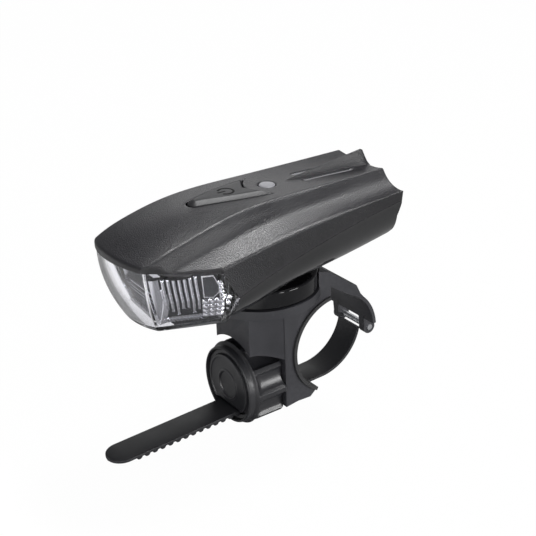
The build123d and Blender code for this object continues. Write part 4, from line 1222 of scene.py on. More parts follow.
    def build(self) -> None:
        """Builds the shell: surface, cuts, lip, tail wall, mirror and wall thickness."""
        grid, ridge, edge, front, rear = self.surface()
        for middle, reach, passes in ((ridge, 5, 3), (edge, 2, 2)):
            soften(grid, middle - reach, middle + reach, passes)
        trim = self.pierce(grid, ridge - 4)
        rows, columns = grid.shape[:2]
        fade = np.concatenate([np.ones(edge - 4), np.linspace(1.0, 0.0, 5), np.zeros(columns - edge - 1)])
        grid[..., 2] -= self.end_drop(grid[..., 1], front[None], rear[None], fade[None])
        grid[:, -1, 2] += self.seam_gap
        soup = Soup().add(grid, *trim.faces(grid_quads(rows, columns)))
        soup.grid(self.drop_wall(grid[0], edge, self.lip_steps, FORM.lip_z(grid[0, : edge + 1, 1])))
        seam = FORM.seam_z(grid[-1, : edge + 1, 1]) + self.seam_gap
        soup.grid(self.drop_wall(grid[-1], edge, columns - 1 - edge, seam))
        shell = soup.mirrored().build("roof_shell", crease=40.0, heart=(0.0, -20.0, 40.0))
        thicken(shell, self.wall)
        # The wall's corners stay within the tail's outline, and below the edge within the side's plane.
        points = read_points(shell)
        points[:, 1] = np.minimum(points[:, 1], FORM.tail_limit(np.abs(points[:, 0])))
        low = points[:, 2] < FORM.read(points[:, 1], EDGE_Z)[0] - 0.2
        side = FORM.side_x(points[:, 2], points[:, 1])
        points[:, 0] = np.where(low, np.clip(points[:, 0], -side, side), points[:, 0])
        write_points(shell, points)
        dress(shell, "grained_shell", Body.LIGHT, "shell_black", "top_shell")

    @staticmethod
    def drop_wall(line: Array, edge: int, steps: int, floor: Array) -> Array:
        """An upright wall from an end line of the roof down to a floor height.

        Args:
            line: the roof's end line, one point per column.
            edge: column at which the wall ends.
            steps: rows in the wall, equal to the side columns that its last column meets.
            floor: height of the wall's foot under each column.

        Returns:
            The wall's grid.
        """
        top = line[: edge + 1]
        share = (line[edge: edge + steps + 1, 2] - line[edge, 2]) / (line[edge + steps, 2] - line[edge, 2])
        wall = np.repeat(top[None], steps + 1, 0)
        wall[..., 2] = top[None, :, 2] + (floor - top[:, 2])[None] * share[:, None]
        wall[:, -1] = line[edge: edge + steps + 1]
        return wall

    def build_ribs(self) -> None:
        """Builds the floor of both grooves: a strip with fine ribs across it, a sine wave in y, in a light
        grey painted as the highlight of the lit groove wall.
        """
        low_x, high_x, low_y, high_y = self.groove
        inset_x, inset_y = self.rib_inset
        across = np.linspace(low_x + inset_x, high_x - inset_x, 7)
        x, y = np.meshgrid(across, np.arange(low_y + inset_y, high_y - inset_y, 0.06))
        taper = ease(0.0, 0.5, y - low_y - inset_y) * ease(0.0, 0.5, high_y - inset_y - y)
        wave = 0.5 + 0.5 * np.sin((y - low_y) * 2 * math.pi / self.rib_pitch)
        floor = FORM.crown_height(x, y) - self.groove_depth - self.rib_foot
        half = Soup().grid(np.stack([x, y, floor + (self.rib_foot + self.rib_height * wave) * taper], -1))
        strips = half.mirrored().build("groove_ribs", crease=80.0, heart=(0.0, 0.0, 0.0))
        thicken(strips, self.rib_plate, crease=80.0)
        dress(strips, "rib_plastic", Body.LIGHT, "shell_black")

    def build_fin(self) -> None:
        """Builds the fin: a wedge whose half width and height grow with y, flanks a little hollow."""
        rows = np.linspace(0.0, 1.0, 40)
        y = self.fin_start + rows * (self.fin_foot - self.fin_start)
        root = FORM.crown_height(np.zeros_like(y), y)
        start_z = root[0] - self.fin_sunk
        (apex_y, apex_z), run = self.fin_apex, self.fin_apex[0] - self.fin_start
        climb = start_z + (apex_z - start_z) * (y - self.fin_start) / run
        top = np.where(y < apex_y, climb, apex_z - (y - apex_y) * self.fin_fall)
        half = self.fin_half[0] + self.fin_half[1] * rows ** 0.9
        flank = np.array([1.0, 1.0, 0.8, 0.6, 0.4, 0.24, 0.15, 0.08, 0.0])
        slope = np.array([-1.3, 0.0, 0.14, 0.33, 0.56, 0.79, 0.93, 0.99, 1.0])
        across = np.concatenate([-flank, flank[-2::-1]])
        lift = np.concatenate([slope, slope[-2::-1]])
        rise = np.maximum(top - root, 0.0)
        z = root[:, None] + np.where(lift[None] < 0, lift[None], rise[:, None] * lift[None] - self.fin_sunk)
        grid = np.stack([half[:, None] * across[None], np.repeat(y[:, None], len(across), 1), z], -1)
        fin = Soup().capped(grid).build("roof_fin", crease=50.0)
        dress(fin, "grained_shell", Body.LIGHT, "shell_black")


def rounded_outline(low_x: float, high_x: float, low_y: float, high_y: float, radius: float) -> Array:
    """A closed rectangle outline with round corners, in order round it.

    Args:
        low_x: left side.
        high_x: right side.
        low_y: front side.
        high_y: rear side.
        radius: radius of the corners.

    Returns:
        The points, one row each.
    """
    centres = ((high_x - radius, high_y - radius), (low_x + radius, high_y - radius),
               (low_x + radius, low_y + radius), (high_x - radius, low_y + radius))
    arcs = []
    for quarter, centre in enumerate(centres):
        turn = (quarter + np.linspace(0, 1, 9)) * math.pi / 2
        arcs.append(np.asarray(centre) + radius * np.stack([np.cos(turn), np.sin(turn)], -1))
    return np.vstack(arcs)


def rounded_block(low: Point, high: Point, corner: float, edge: float, name: str) -> Piece:
    """An upright block with round corners in plan and rounded upper and lower edges.

    Args:
        low: lowest corner.
        high: highest corner.
        corner: radius of its upright corners.
        edge: radius of its level edges.
        name: the piece's name.

    Returns:
        The object.
    """
    turn = np.linspace(0, math.pi / 2, 5)
    inset = np.concatenate([edge * (1 - np.sin(turn)), edge * (1 - np.sin(turn[::-1]))])
    height = np.concatenate([low[2] + edge * (1 - np.cos(turn)), high[2] - edge * (1 - np.cos(turn[::-1]))])
    rings = []
    for step, z in zip(inset, height):
        sides = (low[0] + step, high[0] - step, low[1] + step, high[1] - step)
        ring = rounded_outline(*sides, max(corner - step, 0.05))
        rings.append(np.column_stack([ring, np.full(len(ring), z)]))
    return Soup().capped(np.stack(rings)).build(name, crease=30.0)


@dataclass
class BottomShell:
    """The glossy lower casing: belly, side walls, tail with its port recess, pocket over the drum."""

    wall: float = 1.6
    drum: Point = (-19.6, 19.1, 27.7)
    screws: tuple[Pair, ...] = ((13.5, -41.0), (11.5, 15.5))
    screw_hole: float = 2.45
    port: tuple[float, float, float, float] = (-6.4, 6.4, 37.45, 44.65)
    port_corner: float = 0.5
    port_floor: float = 21.2
    cell: float = 0.5
    seam_gap: float = 0.03
    pad: tuple[Point, Point] = ((-7.0, -33.0, 27.75), (7.0, -6.0, 30.6))
    pad_corner: float = 1.2
    pad_edge: float = 0.3

    def surface(self) -> tuple[Array, int]:
        """Half of the outer surface: belly columns, then the wall's columns up to the seam.

        Returns:
            The grid and the column index of the belly's edge.
        """
        belly = stretches((0.0, 0.9, 34), (0.9, 1.0, 5))
        wall = stretches((0.0, 0.12, 4), (0.12, 1.0, 16))
        edge = len(belly) - 1
        share = np.concatenate([belly, wall[1:]])
        low = np.arange(len(share)) <= edge

        def section(y: Array) -> tuple[Array, Array]:
            """Points on the columns, on the belly or on the wall.

            Args:
                y: place of each point.

            Returns:
                x and z of each point.
            """
            x = np.minimum(share, 1.0) * FORM.read(y, BELLY_X)[0]
            wall_x, wall_z = FORM.wall_point(1.0 - share, y)
            return np.where(low, x, wall_x), np.where(low, FORM.belly_height(x, y), wall_z)

        front, rear = np.full(len(share), -44.0), np.full(len(share), 18.0)
        slope = (FORM.tip[1] - FORM.heel[1]) / (FORM.tip[0] - FORM.heel[0])
        for _ in range(60):
            front = 0.5 * front + 0.5 * (FORM.tip[0] - (FORM.tip[1] - section(front)[1]) / slope)
            x, z = section(rear)
            rear = 0.5 * rear + 0.5 * FORM.tail_face(x, z)
        rows = stretches((0.0, 0.02, 2), (0.02, 0.16, 20), (0.16, 0.55, 44), (0.55, 0.9, 34), (0.9, 1.0, 14))
        y = front[None] + (rear - front)[None] * rows[:, None]
        x, z = section(y)
        return np.stack([x, y, z], -1), edge

    def build(self) -> None:
        """Builds the shell with its screw holes, drum pocket, tail face and port recess."""
        grid, edge = self.surface()
        soften(grid, edge - 2, edge + 2, 3)
        trim, inside = Trim.over(grid, edge - 3, self.cell)
        drum_y, drum_r, ceiling = self.drum
        for screw in self.screws:
            trim.cut(np.array(screw) + unit_circle(96)[::2] * self.screw_hole)
        pocket = trim.snap(np.array([0.0, drum_y]) + unit_circle(96) * drum_r)
        plan = trim.plan[inside]
        plan[:, 0] = np.maximum(plan[:, 0], 0.0)
        height = FORM.belly_height(plan[:, 0], plan[:, 1])
        height = np.where((pocket[inside] < 0) & (height < ceiling), ceiling, height)
        grid.reshape(-1, 3)[inside] = np.column_stack([plan, height])
        grid[:, -1, 2] -= self.seam_gap
        soup = Soup().add(grid, *trim.faces(grid_quads(*grid.shape[:2])))
        self.tail(soup, grid[-1], edge)
        shell = soup.mirrored().build("belly_shell", crease=38.0, heart=(0.0, -10.0, 42.0))
        thicken(shell, self.wall)
        dress(shell, "gloss_shell", Body.LIGHT, "shell_gloss", "bottom_shell")

    def tail(self, soup: Soup, line: Array, edge: int) -> None:
        """Closes the tail between the belly's end line and the seam, sunk at the port.

        Args:
            soup: where the face goes.
            line: the surface's last row.
            edge: column index of the belly's edge.
        """
        bottom, side = line[: edge + 1], line[edge:]
        share = (side[:, 2] - side[0, 2]) / (side[-1, 2] - side[0, 2])
        across = bottom[:, 0] / bottom[-1, 0]
        x = across[None] * side[:, :1]
        z = bottom[None, :, 2] + share[:, None] * (side[-1, 2] - bottom[:, 2])[None]
        trim = Trim(np.column_stack([x.ravel(), z.ravel()]), self.cell)
        signed = trim.snap(rounded_outline(*self.port, self.port_corner)).reshape(x.shape)
        x, z = np.maximum(trim.plan[:, 0], 0.0).reshape(x.shape), trim.plan[:, 1].reshape(x.shape)
        grid = np.stack([x, np.where(signed < 0, self.port_floor, FORM.tail_face(x, z)), z], -1)
        grid[0], grid[:, -1] = bottom, side
        soup.grid(grid)

    def build_pad(self) -> None:
        """Builds the pad that the slide shoe is screwed to, under the belly."""
        dress(rounded_block(*self.pad, self.pad_corner, self.pad_edge, "shoe_pad"),
              "gloss_shell", Body.LIGHT, "shell_gloss")


@dataclass
class Controls:
    """The soft power button with its symbol, and the window of the charge indicator."""

    centre_y: float = -31.0
    symbol_radius: float = 2.35
    symbol_gap: float = 38.0
    symbol_rise: float = 0.99
    bar: Pair = (-2.9, -0.2)
    stroke: tuple[Pair, ...] = ((-0.36, -0.20), (-0.36, 0.03), (-0.28, 0.07), (0.28, 0.07), (0.36, 0.03),
                                (0.36, -0.20))
    plateau: Pair = (0.96, 0.06)
    window: Pair = (-15.9, 2.6)
    window_rim: float = 0.35
    window_plug: float = 2.0
    window_dome: Pair = (0.05, 0.12)
    rings: tuple[Pair, ...] = ((0.0, -2.4), (0.0, -0.30), (-0.05, -0.12), (-0.18, 0.02), (-1.30, 0.70),
                               (-1.50, 0.84), (-1.66, 0.92), (-1.85, 0.96))

    def build_button(self) -> None:
        """Builds the button: outlines drawn inwards and upwards, then closed towards its spine."""
        layers = []
        for grow, rise in self.rings:
            half = PAD.half(grow)
            layers.append(np.column_stack([half, FORM.crown_height(half[:, 0], half[:, 1]) + rise]))
        last = layers[-1]
        spine_y = np.clip(last[:, 1], last[0, 1], last[-1, 1])
        for share in (0.25, 0.5, 0.75, 1.0):
            x, y = last[:, 0] * (1 - share), last[:, 1] + (spine_y - last[:, 1]) * share
            rise = self.plateau[0] + self.plateau[1] * share
            layers.append(np.column_stack([x, y, FORM.crown_height(x, y) + rise]))
        soup = Soup().grid(np.stack(layers))
        soup.grid(np.stack([layers[0] * np.array([0.0, 1.0, 1.0]), layers[0]]))
        dress(soup.mirrored().build("power_pad", crease=42.0),
              "button_rubber", Body.BUTTON, "button_rubber", "power_button")

    def build_symbol(self) -> None:
        """Builds the generic power symbol: an open ring with a bar through its gap, one stroke's section
        carried along both."""
        half, lift = np.array(self.stroke).T
        turn = np.radians(np.linspace(self.symbol_gap - 90, 270 - self.symbol_gap, 61))
        out = np.stack([np.cos(turn), np.sin(turn)], -1)
        ring = np.array([0.0, self.centre_y]) + self.symbol_radius * out
        bar = np.stack([np.zeros(12), self.centre_y + np.linspace(*self.bar, 12)], -1)
        side = np.repeat(np.array([[1.0, 0.0]]), 12, 0)
        soup = Soup()
        for path, normal in ((ring, out), (bar, side)):
            plan = path[:, None] + normal[:, None] * half[None, :, None]
            z = FORM.crown_height(plan[..., 0], plan[..., 1]) + self.symbol_rise + lift[None]
            soup.capped(np.concatenate([plan, z[..., None]], -1))
        dress(soup.build("power_symbol", crease=40.0), "symbol_paint", Body.BUTTON, "button_rubber")

    def build_window(self) -> None:
        """Builds the indicator's window: a low dome with a rounded rim, on a short plug."""
        (y, radius), edge, (rise, bow) = self.window, self.window_rim, self.window_dome
        height = float(FORM.crown_height(np.array([0.0]), np.array([y]))[0])
        turn = np.linspace(0, math.pi / 2, 6)
        rim = np.stack([radius - edge + edge * np.cos(turn), height + rise - edge + edge * np.sin(turn)], -1)
        dome = np.linspace(radius - edge - 0.05, 0.01, 9)
        top = np.stack([dome, height + rise + bow * (1 - (dome / radius) ** 2)], -1)
        foot = height - self.window_plug
        profile = np.vstack([[0.01, foot], [radius, foot], rim, top])
        pane = Soup().grid(turned_up(profile, (0.0, y), 72), wrap=True).build("indicator_pane", crease=40.0)
        dress(pane, "milky_window", Body.LIGHT, "window_milk", "indicator_window")


@dataclass
class Optics:
    """The clear raked lens and what shows behind it."""

    wall: float = 1.9
    levels: tuple[tuple[float, ...], ...] = (
        # z, nose y, corner x, corner y, cheek x, cheek y
        (45.7, -72.2, 13.4, -68.7, 21.2, -47.2),
        (33.0, -70.2, 12.6, -66.8, 21.9, -46.6),
        (21.5, -64.1, 9.3, -62.2, 17.0, -46.0),
    )
    side_gap: float = 0.04
    lip_lap: float = 0.25
    belly_reach: float = 17.0
    floor_gap: float = 0.02

    def plan(self, column: int, z: Array) -> Array:
        """One plan size at a height: the parabola through the three levels."""
        level = np.array(self.levels)
        return np.polyval(np.polyfit(level[:, 0], level[:, column], 2), z)

    def floor_z(self, x: Array, y: Array) -> Array:
        """Height of the lens's floor, which follows the belly and runs level beyond its reach."""
        return FORM.belly_height(np.minimum(x, self.belly_reach), y)

    def outline(self, share: Array, z: Array) -> tuple[Array, Array]:
        """x and y on the lens's half outline at a height.

        Args:
            share: 0 at the side's rear, 1 at the cheek's corner, 2 at the nose's, 3 on the middle line.
            z: height of each point.

        Returns:
            x and y of each point.
        """
        nose, corner_x, corner_y, cheek_x, cheek_y = (self.plan(k, z) for k in range(1, 6))
        (tip_y, tip_z), (heel_y, heel_z) = FORM.tip, FORM.heel
        upper = tip_y - (z - tip_z) / (FORM.lip_rear_z - tip_z) * (tip_y - FORM.cheek[1])
        lower = tip_y - (tip_z - z) / (tip_z - heel_z) * (tip_y - heel_y)
        rear_y = np.where(z > tip_z, upper, lower)
        cheek_y = np.minimum(cheek_y, rear_y)
        cheek_x = np.minimum(cheek_x, FORM.side_x(z, cheek_y) - self.side_gap)
        bow = corner_y - nose
        radius = (corner_x ** 2 + bow ** 2) / (2 * bow)
        first, second, third = (np.clip(share - k, 0, 1) for k in range(3))
        x = np.where(share <= 2, cheek_x + (corner_x - cheek_x) * second, corner_x * (1 - third))
        arc = nose + radius - np.sqrt(np.maximum(radius ** 2 - x ** 2, 0))
        flank = np.where(share <= 2, cheek_y + (corner_y - cheek_y) * second, arc)
        return x, np.where(share <= 1, rear_y + (cheek_y - rear_y) * first, flank)

    def build_lens(self) -> None:
        """Builds the lens: its outline at heights from the lip down to a soft lower edge, then the floor
        back to the heel, all of one thickness."""
        share = stretches((0.0, 1.0, 4), (1.0, 1.05, 2), (1.05, 1.95, 22), (1.95, 2.05, 4), (2.05, 3.0, 18))
        rows = stretches((0.0, 0.9, 22), (0.9, 1.0, 6))
        top, low = np.full(len(share), 43.0), np.full(len(share), 23.6)
        for _ in range(6):
            top = FORM.lip_z(self.outline(share, top)[1]) + self.lip_lap
            low = self.floor_z(*self.outline(share, low))
        z = top[None] + (low - top)[None] * rows[:, None]
        x, y = self.outline(np.repeat(share[None], len(rows), 0), z)
        back = np.linspace(0, 1, 15)[1:, None]
        floor_y = y[-1] + np.maximum(FORM.heel[0] - y[-1], 0.0) * back
        floor_x = np.repeat(x[-1:], len(back), 0)
        floor = np.stack([floor_x, floor_y, self.floor_z(floor_x, floor_y)], -1)
        grid = np.concatenate([np.stack([x, y, z], -1), floor])
        bend = len(rows) - 1
        soften(grid.swapaxes(0, 1), bend - 3, bend + 1, 3)
        half = Soup().grid(grid)
        lens = half.mirrored().build("clear_cover", crease=28.0, weld=0.02, heart=(0.0, -52.0, 33.0))
        thicken(lens, self.wall)
        points = read_points(lens)
        low = self.floor_z(np.abs(points[:, 0]), points[:, 1]) - self.floor_gap
        points[:, 2] = np.maximum(points[:, 2], low)
        points[:, 1] = np.minimum(points[:, 1], FORM.tip[0])
        write_points(lens, points)
        dress(lens, "clear_lens", Body.LIGHT, "clear_lens", "lens")


@dataclass
class Insert:
    """The mirrored parts behind the lens: bowl with its bezel, ribbed cheeks, dark sill and roof plate."""

    optics: Optics = field(default_factory=Optics)
    heart: Point = (0.0, -52.0, 33.0)
    inset: float = 2.6
    ribs: int = 7
    rib_range: Pair = (1.31, 1.80)
    rib_gap: float = 0.14
    rib_depth: float = 0.75
    rib_foot: Pair = (29.6, 1.3)
    rib_top: float = 41.4
    rib_back: float = 1.1
    backing: float = 1.5
    step_depth: float = 0.10
    field_range: Pair = (1.81, 1.93)
    field_bow: tuple[float, float, float] = (0.5, 1.87, 0.062)
    field_back: float = 0.9
    facets: tuple[tuple, ...] = (
        # first and last place along the outline, lowest and highest z, diamonds along and up
        (0.30, 1.295, 26.8, 33.0, 11, 4), (0.55, 1.06, 33.0, 38.4, 6, 4), (1.295, 1.93, 25.9, 28.0, 13, 2),
    )
    facet_depth: float = 0.65
    pane: tuple[Pair, ...] = ((1.06, 37.4), (1.12, 41.0), (1.275, 41.2), (1.285, 34.0), (1.16, 33.6),
                              (1.07, 35.2))
    pane_steps: tuple[Pair, ...] = ((1.0, 0.3), (1.0, -0.75), (0.88, -0.80), (0.84, -0.50), (0.0, -0.50))
    pane_back: float = 0.62
    mouth_y: float = -62.0
    mouth: tuple[Pair, ...] = ((-10.6, 37.2), (-8.6, 39.4), (8.6, 39.4), (10.6, 37.2), (9.6, 30.6),
                               (6.6, 28.2), (-6.6, 28.2), (-9.6, 30.6))
    centre_z: float = 33.0
    throat: float = 2.9
    bowl_depth: float = 13.4
    bowl_ridge: Pair = (1.3, 0.5)
    lip: tuple[Pair, ...] = ((1.0, 0.0), (1.015, -0.35), (1.04, -0.5), (1.065, -0.35), (1.08, 0.0))
    bezel: tuple[float, float, float] = (11.6, 25.7, 41.6)
    bezel_push: Pair = (0.25, 2.2)
    bars: tuple[tuple[float, float, float], ...] = ((33.6, 0.30, 10.0), (31.9, 0.14, 9.4), (30.9, 0.12, 9.0))
    sills: tuple[Pair, ...] = ((25.5, 0.6), (42.1, 0.5))
    plate: float = 0.4

    def pushed(self, share: Array, z: Array, inset: Array) -> Array:
        """Points at an inset from the lens's outline, along its inward normal.

        Args:
            share: place on the half outline, as in the lens.
            z: height of each point.
            inset: distance inwards, one number or one per point.

        Returns:
            The points.
        """
        x, y = self.optics.outline(share, z)
        run = np.stack([x, y], -1) - np.stack(self.optics.outline(share - 0.01, z), -1)
        run = run / np.maximum(np.linalg.norm(run, axis=-1, keepdims=True), 1e-9)
        return np.stack([x + run[..., 1] * inset, y - run[..., 0] * inset, z], -1)

    def inner(self, share: Array, z: Array, inset: Array) -> Array:
        """A grid of pushed points, one row for each height."""
        return self.pushed(*np.meshgrid(share, z), inset)

    def walled(self, soup: Soup, name: str, crease: float, wall: float, finish: str) -> None:
        """Makes a mirrored pair of open surfaces a dressed piece with a wall.

        Args:
            soup: the right half.
            name: the piece's name.
            crease: degrees above which an edge stays sharp.
            wall: wall thickness.
            finish: name of its finish.
        """
        piece = soup.mirrored().build(name, crease=crease, heart=self.heart)
        dress(thicken(piece, wall), finish, Body.LIGHT, "mirror_plate")

    def column(self, index: int) -> Array:
        """One half-round column of a cheek: a half circle across, closed at its ends, with fine steps.

        Args:
            index: its number, from the rear.

        Returns:
            The column's grid.
        """
        (start, end), (middle, sway), top = self.rib_range, self.rib_foot, self.rib_top
        pitch = (end - start) / self.ribs
        share = start + pitch * np.linspace(index + self.rib_gap, index + 1 - self.rib_gap, 13)
        across = np.linspace(-1, 1, 13)
        foot = middle - sway * math.sin(index * 1.9)
        z = stretches((foot, foot + 1.0, 6), (foot + 1.0, top - 1.0, 40), (top - 1.0, top, 6))
        ends = np.sqrt(np.clip(1 - (np.abs(z - (foot + top) / 2) / ((top - foot) / 2)) ** 10, 0, 1))
        step = self.step_depth * np.abs((z / 1.5 + index * 0.37) % 1.0 - 0.5)
        shape = self.rib_depth * np.sqrt(np.clip(1 - across ** 2, 0, 1))
        relief = (shape[None] + step[:, None]) * ends[:, None]
        return self.inner(share, z, self.inset + self.rib_back - relief)

    def build_cheeks(self) -> None:
        """Builds the mirrored cheek parts: half-round columns with gaps, a plain field by the corner and cut
        diamonds behind and below."""
        soup = Soup()
        for index in range(self.ribs):
            soup.grid(self.column(index))
        plain = np.linspace(*self.field_range, 9)
        tall = stretches((28.0, 29.0, 5), (29.0, 40.4, 12), (40.4, 41.4, 5))
        high, middle, half = self.field_bow
        bow = high * np.sqrt(np.clip(1 - ((plain - middle) / half) ** 2, 0, 1))
        soup.grid(self.inner(plain, tall, self.inset + self.field_back - bow[None] * np.ones((len(tall), 1))))
        for low_s, high_s, low_z, high_z, along, up in self.facets:
            share, z = np.linspace(low_s, high_s, along * 8 + 1), np.linspace(low_z, high_z, up * 8 + 1)
            wave_s = np.abs(((share - low_s) / (high_s - low_s) * along) % 1.0 - 0.5) * 2
            wave_z = np.abs(((z - low_z) / (high_z - low_z) * up) % 1.0 - 0.5) * 2
            facet = self.facet_depth * (1 - np.maximum(wave_s[None], wave_z[:, None]))
            soup.grid(self.inner(share, z, self.inset + self.field_back - facet))
        self.walled(soup, "ribbed_cheeks", 24.0, self.plate, "mirror_plate")

    def build_backing(self) -> None:
        """Builds the dark plates behind the columns."""
        share, z = np.linspace(1.06, 1.90, 40), np.linspace(26.2, 41.6, 20)
        soup = Soup().grid(self.inner(share, z, self.inset + self.backing))
        self.walled(soup, "dark_backing", 30.0, self.plate, "dark_insert")

    def build_windows(self) -> None:
        """Builds the dark six-sided plates set in the rear of each cheek, and the bright rims round them."""
        shape = np.array(self.pane)
        middle = shape.mean(0)
        rings = []
        for scale, lift in self.pane_steps:
            share, z = (middle + (shape - middle) * scale).T
            rings.append(self.pushed(share, z, self.inset + self.pane_back + lift))
        parts = (("cheek_rims", rings[:4], "satin_silver"), ("cheek_plates", rings[3:], "dark_insert"))
        for name, part, finish in parts:
            soup = Soup().grid(np.stack(part), wrap=True)
            self.walled(soup, name, 25.0, 0.3, finish)

    def mouth_ring(self, scale: float) -> Array:
        """The mouth's outline with points along each side, scaled about its middle.

        Args:
            scale: the factor.

        Returns:
            Rows of x and z.
        """
        shape = np.array(self.mouth)
        ahead = np.roll(shape, -1, axis=0)
        steps = np.linspace(0, 1, 16, endpoint=False)
        ring = (shape[:, None] + (ahead - shape)[:, None] * steps[None, :, None]).reshape(-1, 2)
        middle = np.array([0.0, self.centre_z])
        return middle + (ring - middle) * scale

    def standing(self, ring: Array, push: float) -> Array:
        """Points of an upright ring, set back from the mouth."""
        return np.column_stack([ring[:, 0], np.full(len(ring), self.mouth_y + push), ring[:, 1]])

    def build_bowl(self) -> None:
        """Builds the bowl: its cornered mouth drawn back to a round throat, with facets and a level ridge."""
        ring = self.mouth_ring(1.0)
        turn = np.arctan2(ring[:, 1] - self.centre_z, ring[:, 0])
        round_x, round_z = self.throat * np.cos(turn), self.throat * np.sin(turn)
        high, width = self.bowl_ridge
        layers = []
        for step in np.linspace(0, 1, 26):
            size = 1.0 - step
            pull = math.sqrt(size)
            x = ring[:, 0] * pull + round_x * (1 - pull)
            z = self.centre_z + (ring[:, 1] - self.centre_z) * pull + round_z * (1 - pull)
            ridge = high * np.exp(-((z - self.centre_z) / width) ** 2) * size
            layers.append(np.stack([x, self.mouth_y + self.bowl_depth * step - ridge, z], -1))
        soup = Soup().grid(np.stack(layers), wrap=True)
        bowl = soup.build("mirror_bowl", crease=22.0, heart=(0.0, -90.0, 33.0))
        thicken(bowl, 0.5, 1.0, 22.0)
        dress(bowl, "bowl_mirror", Body.LIGHT, "mirror_plate", "reflector")

    def build_bezel(self) -> None:
        """Builds the bezel: a bright rolled lip round the mouth, then a flat face out to the lens."""
        layers = [self.standing(self.mouth_ring(scale), push) for scale, push in self.lip]
        reach, low, high = self.bezel
        gap = self.mouth_ring(self.lip[-1][0]) - np.array([0.0, self.centre_z])
        reach_x = reach / np.maximum(np.abs(gap[:, 0]), 1e-6)
        tall = np.where(gap[:, 1] > 0, high - self.centre_z, self.centre_z - low)
        reach_z = tall / np.maximum(np.abs(gap[:, 1]), 1e-6)
        far = np.maximum(np.minimum(reach_x, reach_z), 1.02)
        edge = np.array([0.0, self.centre_z]) + gap * far[:, None]
        cheek_x, cheek_y, corner_x, corner_y = (self.optics.plan(k, edge[:, 1]) for k in (4, 5, 2, 3))
        lean = (cheek_x - corner_x) / (cheek_y - corner_y)
        side = corner_x + (self.mouth_y - corner_y) * lean - self.inset * 1.13
        edge[:, 0] = np.clip(edge[:, 0], -side, side)
        layers += [self.standing(edge, push) for push in self.bezel_push]
        soup = Soup().grid(np.stack(layers), wrap=True)
        bezel = soup.build("bowl_bezel", crease=26.0, heart=(0.0, -30.0, 33.0))
        thicken(bezel, self.plate)
        dress(bezel, "satin_silver", Body.LIGHT, "mirror_plate")

    def build_bar(self) -> None:
        """Builds the bright level bar across the bowl's mouth, with two thinner ones under it."""
        soup = Soup()
        turn = np.arange(12) * math.pi / 6
        for z, half, reach in self.bars:
            y, up = self.mouth_y + 0.5 + half * np.cos(turn), z + half * np.sin(turn)
            x = np.linspace(-reach, reach, 21)
            soup.capped(np.stack([np.column_stack([np.full(12, at), y, up]) for at in x]))
        dress(soup.build("bowl_bar", crease=40.0), "satin_silver", Body.LIGHT, "mirror_plate")

    def build_sill(self) -> None:
        """Builds the dark sill under the mirrored parts and the plate under the roof's lip."""
        soup = Soup()
        share = np.linspace(1.0, 1.72, 31)
        for level, thick in self.sills:
            down = np.array([0.0, 0.0, thick])
            rim = self.inner(share, np.array([level]), self.inset - 0.2)[0]
            ring = np.vstack([rim, (rim * np.array([-1.0, 1.0, 1.0]))[::-1]])
            middle = np.array([0.0, -53.0, level])
            soup.grid(np.stack([ring, ring - down]), wrap=True)
            soup.fan(ring, middle)
            soup.fan((ring - down)[::-1], middle - down)
        dress(soup.build("dark_sill", crease=30.0), "dark_insert", Body.LIGHT, "mirror_plate")

    def build(self) -> None:
        """Builds every insert, one after the other."""
        for make in (self.build_cheeks, self.build_backing, self.build_windows, self.build_bowl,
                     self.build_bezel, self.build_bar, self.build_sill):
            make()


